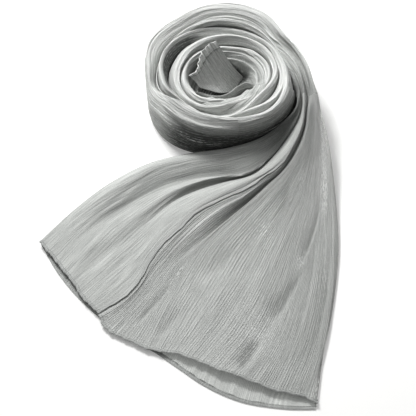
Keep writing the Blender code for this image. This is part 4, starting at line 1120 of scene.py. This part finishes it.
def makeFold():
    line = pathRows(coilEnd["fold"])
    v = np.linspace(0, 1, 90)
    mid = smoothRows(*line, v)
    run = np.gradient(mid[:, :2], axis=0)
    run /= np.linalg.norm(run, axis=1, keepdims=True)
    side = np.column_stack((-run[:, 1], run[:, 0]))
    reach = np.array((4.4, 4.2, 3.9, 3.3, 2.6, 1.7, 0.9, 0.3, -0.3, -0.9, -1.7, -2.6, -3.3, -3.9, -4.2, -4.4))
    part = np.array((0, 0.25, 0.45, 0.65, 0.8, 0.93, 0.985, 1.0, 1.0, 0.985, 0.93, 0.8, 0.65, 0.45, 0.25, 0))
    top = np.empty((len(v), len(reach), 3))
    top[..., :2] = mid[:, None, :2] + side[:, None] * reach[None, :, None]
    top[..., 2] = coilEnd["floor"] + (mid[:, None, 2] - coilEnd["floor"]) * part[None]
    rows, cols = top.shape[:2]
    verts = top.reshape(-1, 3) * mm + planShift
    uv = np.stack((np.broadcast_to(np.linspace(0, 0.06, cols), (rows, cols)),
                   np.broadcast_to(v[:, None] * 0.08, (rows, cols))), axis=2).reshape(-1, 2)
    piece = newPiece("centre_fold_cloth", verts, rollFaces(rows, cols), uv, coilCrepe)
    outwards(piece)
    addGleam(piece, np.full(rows * cols, 0.5))
    return piece


foldCloth = makeFold()

# the layers that lie in the coil's middle: radius and height in mm on the far right side, and elsewhere
nest = {"far": ((4, 9), (14, 10), (20, 12), (24.5, 19), (27.0, 22.5), (29.5, 22), (33.0, 25), (36.0, 30.5),
                (38.5, 32.5), (40.5, 31.5), (42.5, 33.5), (45.5, 36.5), (47.5, 35.5), (49.0, 33)),
        "near": ((4, 7), (14, 6.5), (20, 6), (24.5, 6), (27.0, 7), (29.5, 8), (33.0, 9), (36.0, 10), (38.5, 11),
                 (40.5, 10), (42.5, 10), (45.5, 11), (47.5, 11), (49.0, 10)),
        "left": ((4, 8), (14, 9), (20, 12), (24.5, 17), (27.0, 20), (29.5, 19), (33.0, 24), (36.0, 28.5), (38.5, 27),
                 (40.5, 30), (42.5, 28.5), (45.5, 33), (47.5, 31), (49.0, 30)),
        "front": ((4, 7), (11, 7), (14, 14), (16.5, 27), (19, 34), (22, 37.5), (26, 39.5), (30, 40.5), (34, 40),
                  (37, 38), (40, 36), (43, 35), (46, 34), (49, 33)),
        "span": (-28, 5, 92, 106), "leftSpan": (112, 128, 200, 240), "frontSpan": (-165, -120, -26, 8), "seed": 17}


def within(x, span):
    # 0 outside the span, eased up to 1 inside it: start, full from, full to, end
    start, fullFrom, fullTo, end = span
    return ease(x, start, fullFrom) * (1 - ease(x, fullTo, end))


def makeNest():
    angles = np.linspace(0, 360, 241)[:-1]
    radii = np.linspace(4, 49, 110)
    far, near, leftSide, front = (smoothRows([r for r, _ in nest[k]], [[z] for _, z in nest[k]], radii)[:, 0]
                                  for k in ("far", "near", "left", "front"))
    turn = (angles + 180) % 360 - 180
    share = within(turn, nest["span"])[:, None]
    leftShare = within(angles, nest["leftSpan"])[:, None]
    frontShare = within(turn, nest["frontSpan"])[:, None]
    # the front fold swings out round the pocket beside it
    front = np.interp(radii[None, :] / (1 + 0.42 * ease(turn, -80, -15))[:, None], radii, front)
    share = share * (1 - ease(turn, 15, 58)[:, None] * (1 - ease(radii, 33.5, 39.5))[None, :])
    swing = 1 + 0.05 * np.sin(np.radians(turn * 2.6))[:, None]
    wide = np.minimum(radii[None, :] * swing, 49.5)
    height = near + (far - near) * share + (leftSide - near) * leftShare + (front - near) * frontShare
    stray = strayCreases(nest["seed"], 60, (-30, 130, 25, 80), (14, 48), (0.8, 1.8), (0.3, 1.0), 3)
    order = np.argsort(turn)
    lift = np.zeros_like(height)
    lift[order] = creaseField(turn[order], np.broadcast_to(radii, height.shape)[order], stray)
    loose = 0.3 + 0.7 * np.maximum(share, np.maximum(leftShare, 0.5 * frontShare))
    height = np.maximum(height + lift * loose, 4.5)
    turned = np.radians(angles)[:, None]
    top = np.stack((coilMiddle[0] + wide * np.cos(turned), coilMiddle[1] + wide * np.sin(turned), height),
                   axis=2)
    rows, cols = top.shape[:2]
    low = top.copy()
    low[..., 2] = 0.3
    verts = np.concatenate((top.reshape(-1, 3), low.reshape(-1, 3))) * mm + planShift
    n = rows * cols
    faces = []
    for i in range(rows):
        row, after = i * cols, (i + 1) % rows * cols
        faces += [(row + j, row + j + 1, after + j + 1, after + j) for j in range(cols - 1)]
        faces += [(n + row + j, n + after + j, n + after + j + 1, n + row + j + 1) for j in range(cols - 1)]
        faces.append((row, after, n + after, n + row))
        faces.append((row + cols - 1, n + row + cols - 1, n + after + cols - 1, after + cols - 1))
    uv = np.stack((np.broadcast_to(radii * mm, (rows, cols)), np.broadcast_to(turned * 0.035, (rows, cols))),
                  axis=2)
    uv = uv.reshape(-1, 2)
    piece = newPiece("centre_layers_cloth", verts, faces, np.concatenate((uv, uv)), coilCrepe)
    outwards(piece)
    # painted shade, darker low down in the middle, and painted highlight on raised creases
    addGleam(piece, np.full(2 * n, 0.4), twice(1 - ease(height, 8, 30)), twice(0.5 * ease(lift, 0.3, 1.2)))
    return piece


nestCloth = makeNest()
print("coil's middle made")


# stitches

stitch = {"gap": 3.0, "length": 2.0, "thick": 0.42}


def stitchTree():
    tree = bpy.data.node_groups.new("hemStitches", "GeometryNodeTree")
    face = tree.interface
    face.new_socket("Geometry", in_out="INPUT", socket_type="NodeSocketGeometry")
    for label in ("Gap", "Length", "Thickness"):
        face.new_socket(label, in_out="INPUT", socket_type="NodeSocketFloat")
    face.new_socket("Geometry", in_out="OUTPUT", socket_type="NodeSocketGeometry")
    given = addNode(tree, "NodeGroupInput")
    points = addNode(tree, "GeometryNodeCurveToPoints",
                     {"Curve": given.outputs["Geometry"], "Length": given.outputs["Gap"]}, mode="LENGTH")
    bar = addNode(tree, "GeometryNodeMeshCylinder",
                  {"Vertices": 6, "Side Segments": 2, "Radius": 1.0, "Depth": 1.0})
    half = addNode(tree, "ShaderNodeMath", {0: given.outputs["Thickness"], 1: 0.5}, operation="MULTIPLY")
    size = addNode(tree, "ShaderNodeCombineXYZ",
                   {"X": half.outputs[0], "Y": half.outputs[0], "Z": given.outputs["Length"]})
    put = addNode(tree, "GeometryNodeInstanceOnPoints",
                  {"Points": points.outputs["Points"], "Instance": bar.outputs["Mesh"],
                   "Rotation": points.outputs["Rotation"], "Scale": size.outputs[0]})
    real = addNode(tree, "GeometryNodeRealizeInstances", {"Geometry": put.outputs["Instances"]})
    paint = addNode(tree, "GeometryNodeSetMaterial",
                    {"Geometry": real.outputs["Geometry"], "Material": stitchThread})
    addNode(tree, "NodeGroupOutput", {"Geometry": paint.outputs["Geometry"]})
    return tree


def stitchRow(name, points, tree):
    curve = bpy.data.curves.new(name + "_line", "CURVE")
    curve.dimensions = "3D"
    spline = curve.splines.new("POLY")
    spline.points.add(len(points) - 1)
    for knot, p in zip(spline.points, points):
        knot.co = (*p, 1)
    guide = bpy.data.objects.new(name + "_line", curve)
    bpy.context.collection.objects.link(guide)
    mod = guide.modifiers.new("stitches", "NODES")
    mod.node_group = tree
    sizes = {"Gap": stitch["gap"], "Length": stitch["length"], "Thickness": stitch["thick"]}
    for item in tree.interface.items_tree:
        if item.name in sizes and item.in_out == "INPUT":
            mod[item.identifier] = sizes[item.name] * mm
    bpy.context.view_layer.update()
    ready = guide.evaluated_get(bpy.context.evaluated_depsgraph_get())
    mesh = bpy.data.meshes.new_from_object(ready)
    bpy.data.objects.remove(guide, do_unlink=True)
    piece = bpy.data.objects.new(name, mesh)
    bpy.context.collection.objects.link(piece)
    return piece


def makeStitches():
    tree = stitchTree()
    rows = {}
    for name, which, low, high in (("left_hem_stitches", "left", 0.05, edgeMark - 0.05),
                                   ("right_hem_stitches", "right", edgeMark + 0.35, footMark - 0.3)):
        across = np.linspace(low, high, 200)
        line = tailShape(np.array((1 - 0.78 * hemPart,)), across, which)[0]
        line[:, 2] += 0.55
        rows[name] = line * mm + planShift
    line = underStitchLine[0].copy()
    line[:, 2] = 1.52
    rows["under_hem_stitches"] = line * mm + planShift
    u = np.linspace(0.02, 0.98, 90)
    top = endSurface(np.array((0.06, coilEnd["hemWidth"] * 0.8)), u)
    rows["centre_hem_stitches"] = (top[1] + (0.3, -0.2, 0.55)) * mm + planShift
    return {name: stitchRow(name, points, tree) for name, points in rows.items()}


stitches = makeStitches()
print("stitches sewn")


# what stands for what


def dress(piece, nodes=()):
    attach(piece, "root")
    if nodes:
        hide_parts(*nodes)


for node, piece in coilPieces.items():
    dress(piece, (node,))
dress(tailPieces["left"], ("tail_left_panel",))
dress(tailPieces["right"], ("tail_right_panel",))
dress(underSheet, ("tail_under_layer",))
dress(underHem, ("under_hem",))
dress(hemPieces["left_hem_cloth"], ("left_hem",))
dress(hemPieces["right_hem_cloth"], ("right_hem",))
dress(hemPieces["long_edge_hem_cloth"], ("long_edge_hem",))
dress(endCloth, ("centre_end",))
dress(endHem, ("centre_hem",))
dress(foldCloth, ("centre_fold",))
dress(nestCloth, ("centre_layers",))
for piece in stitches.values():
    dress(piece)
print("pieces dressed")
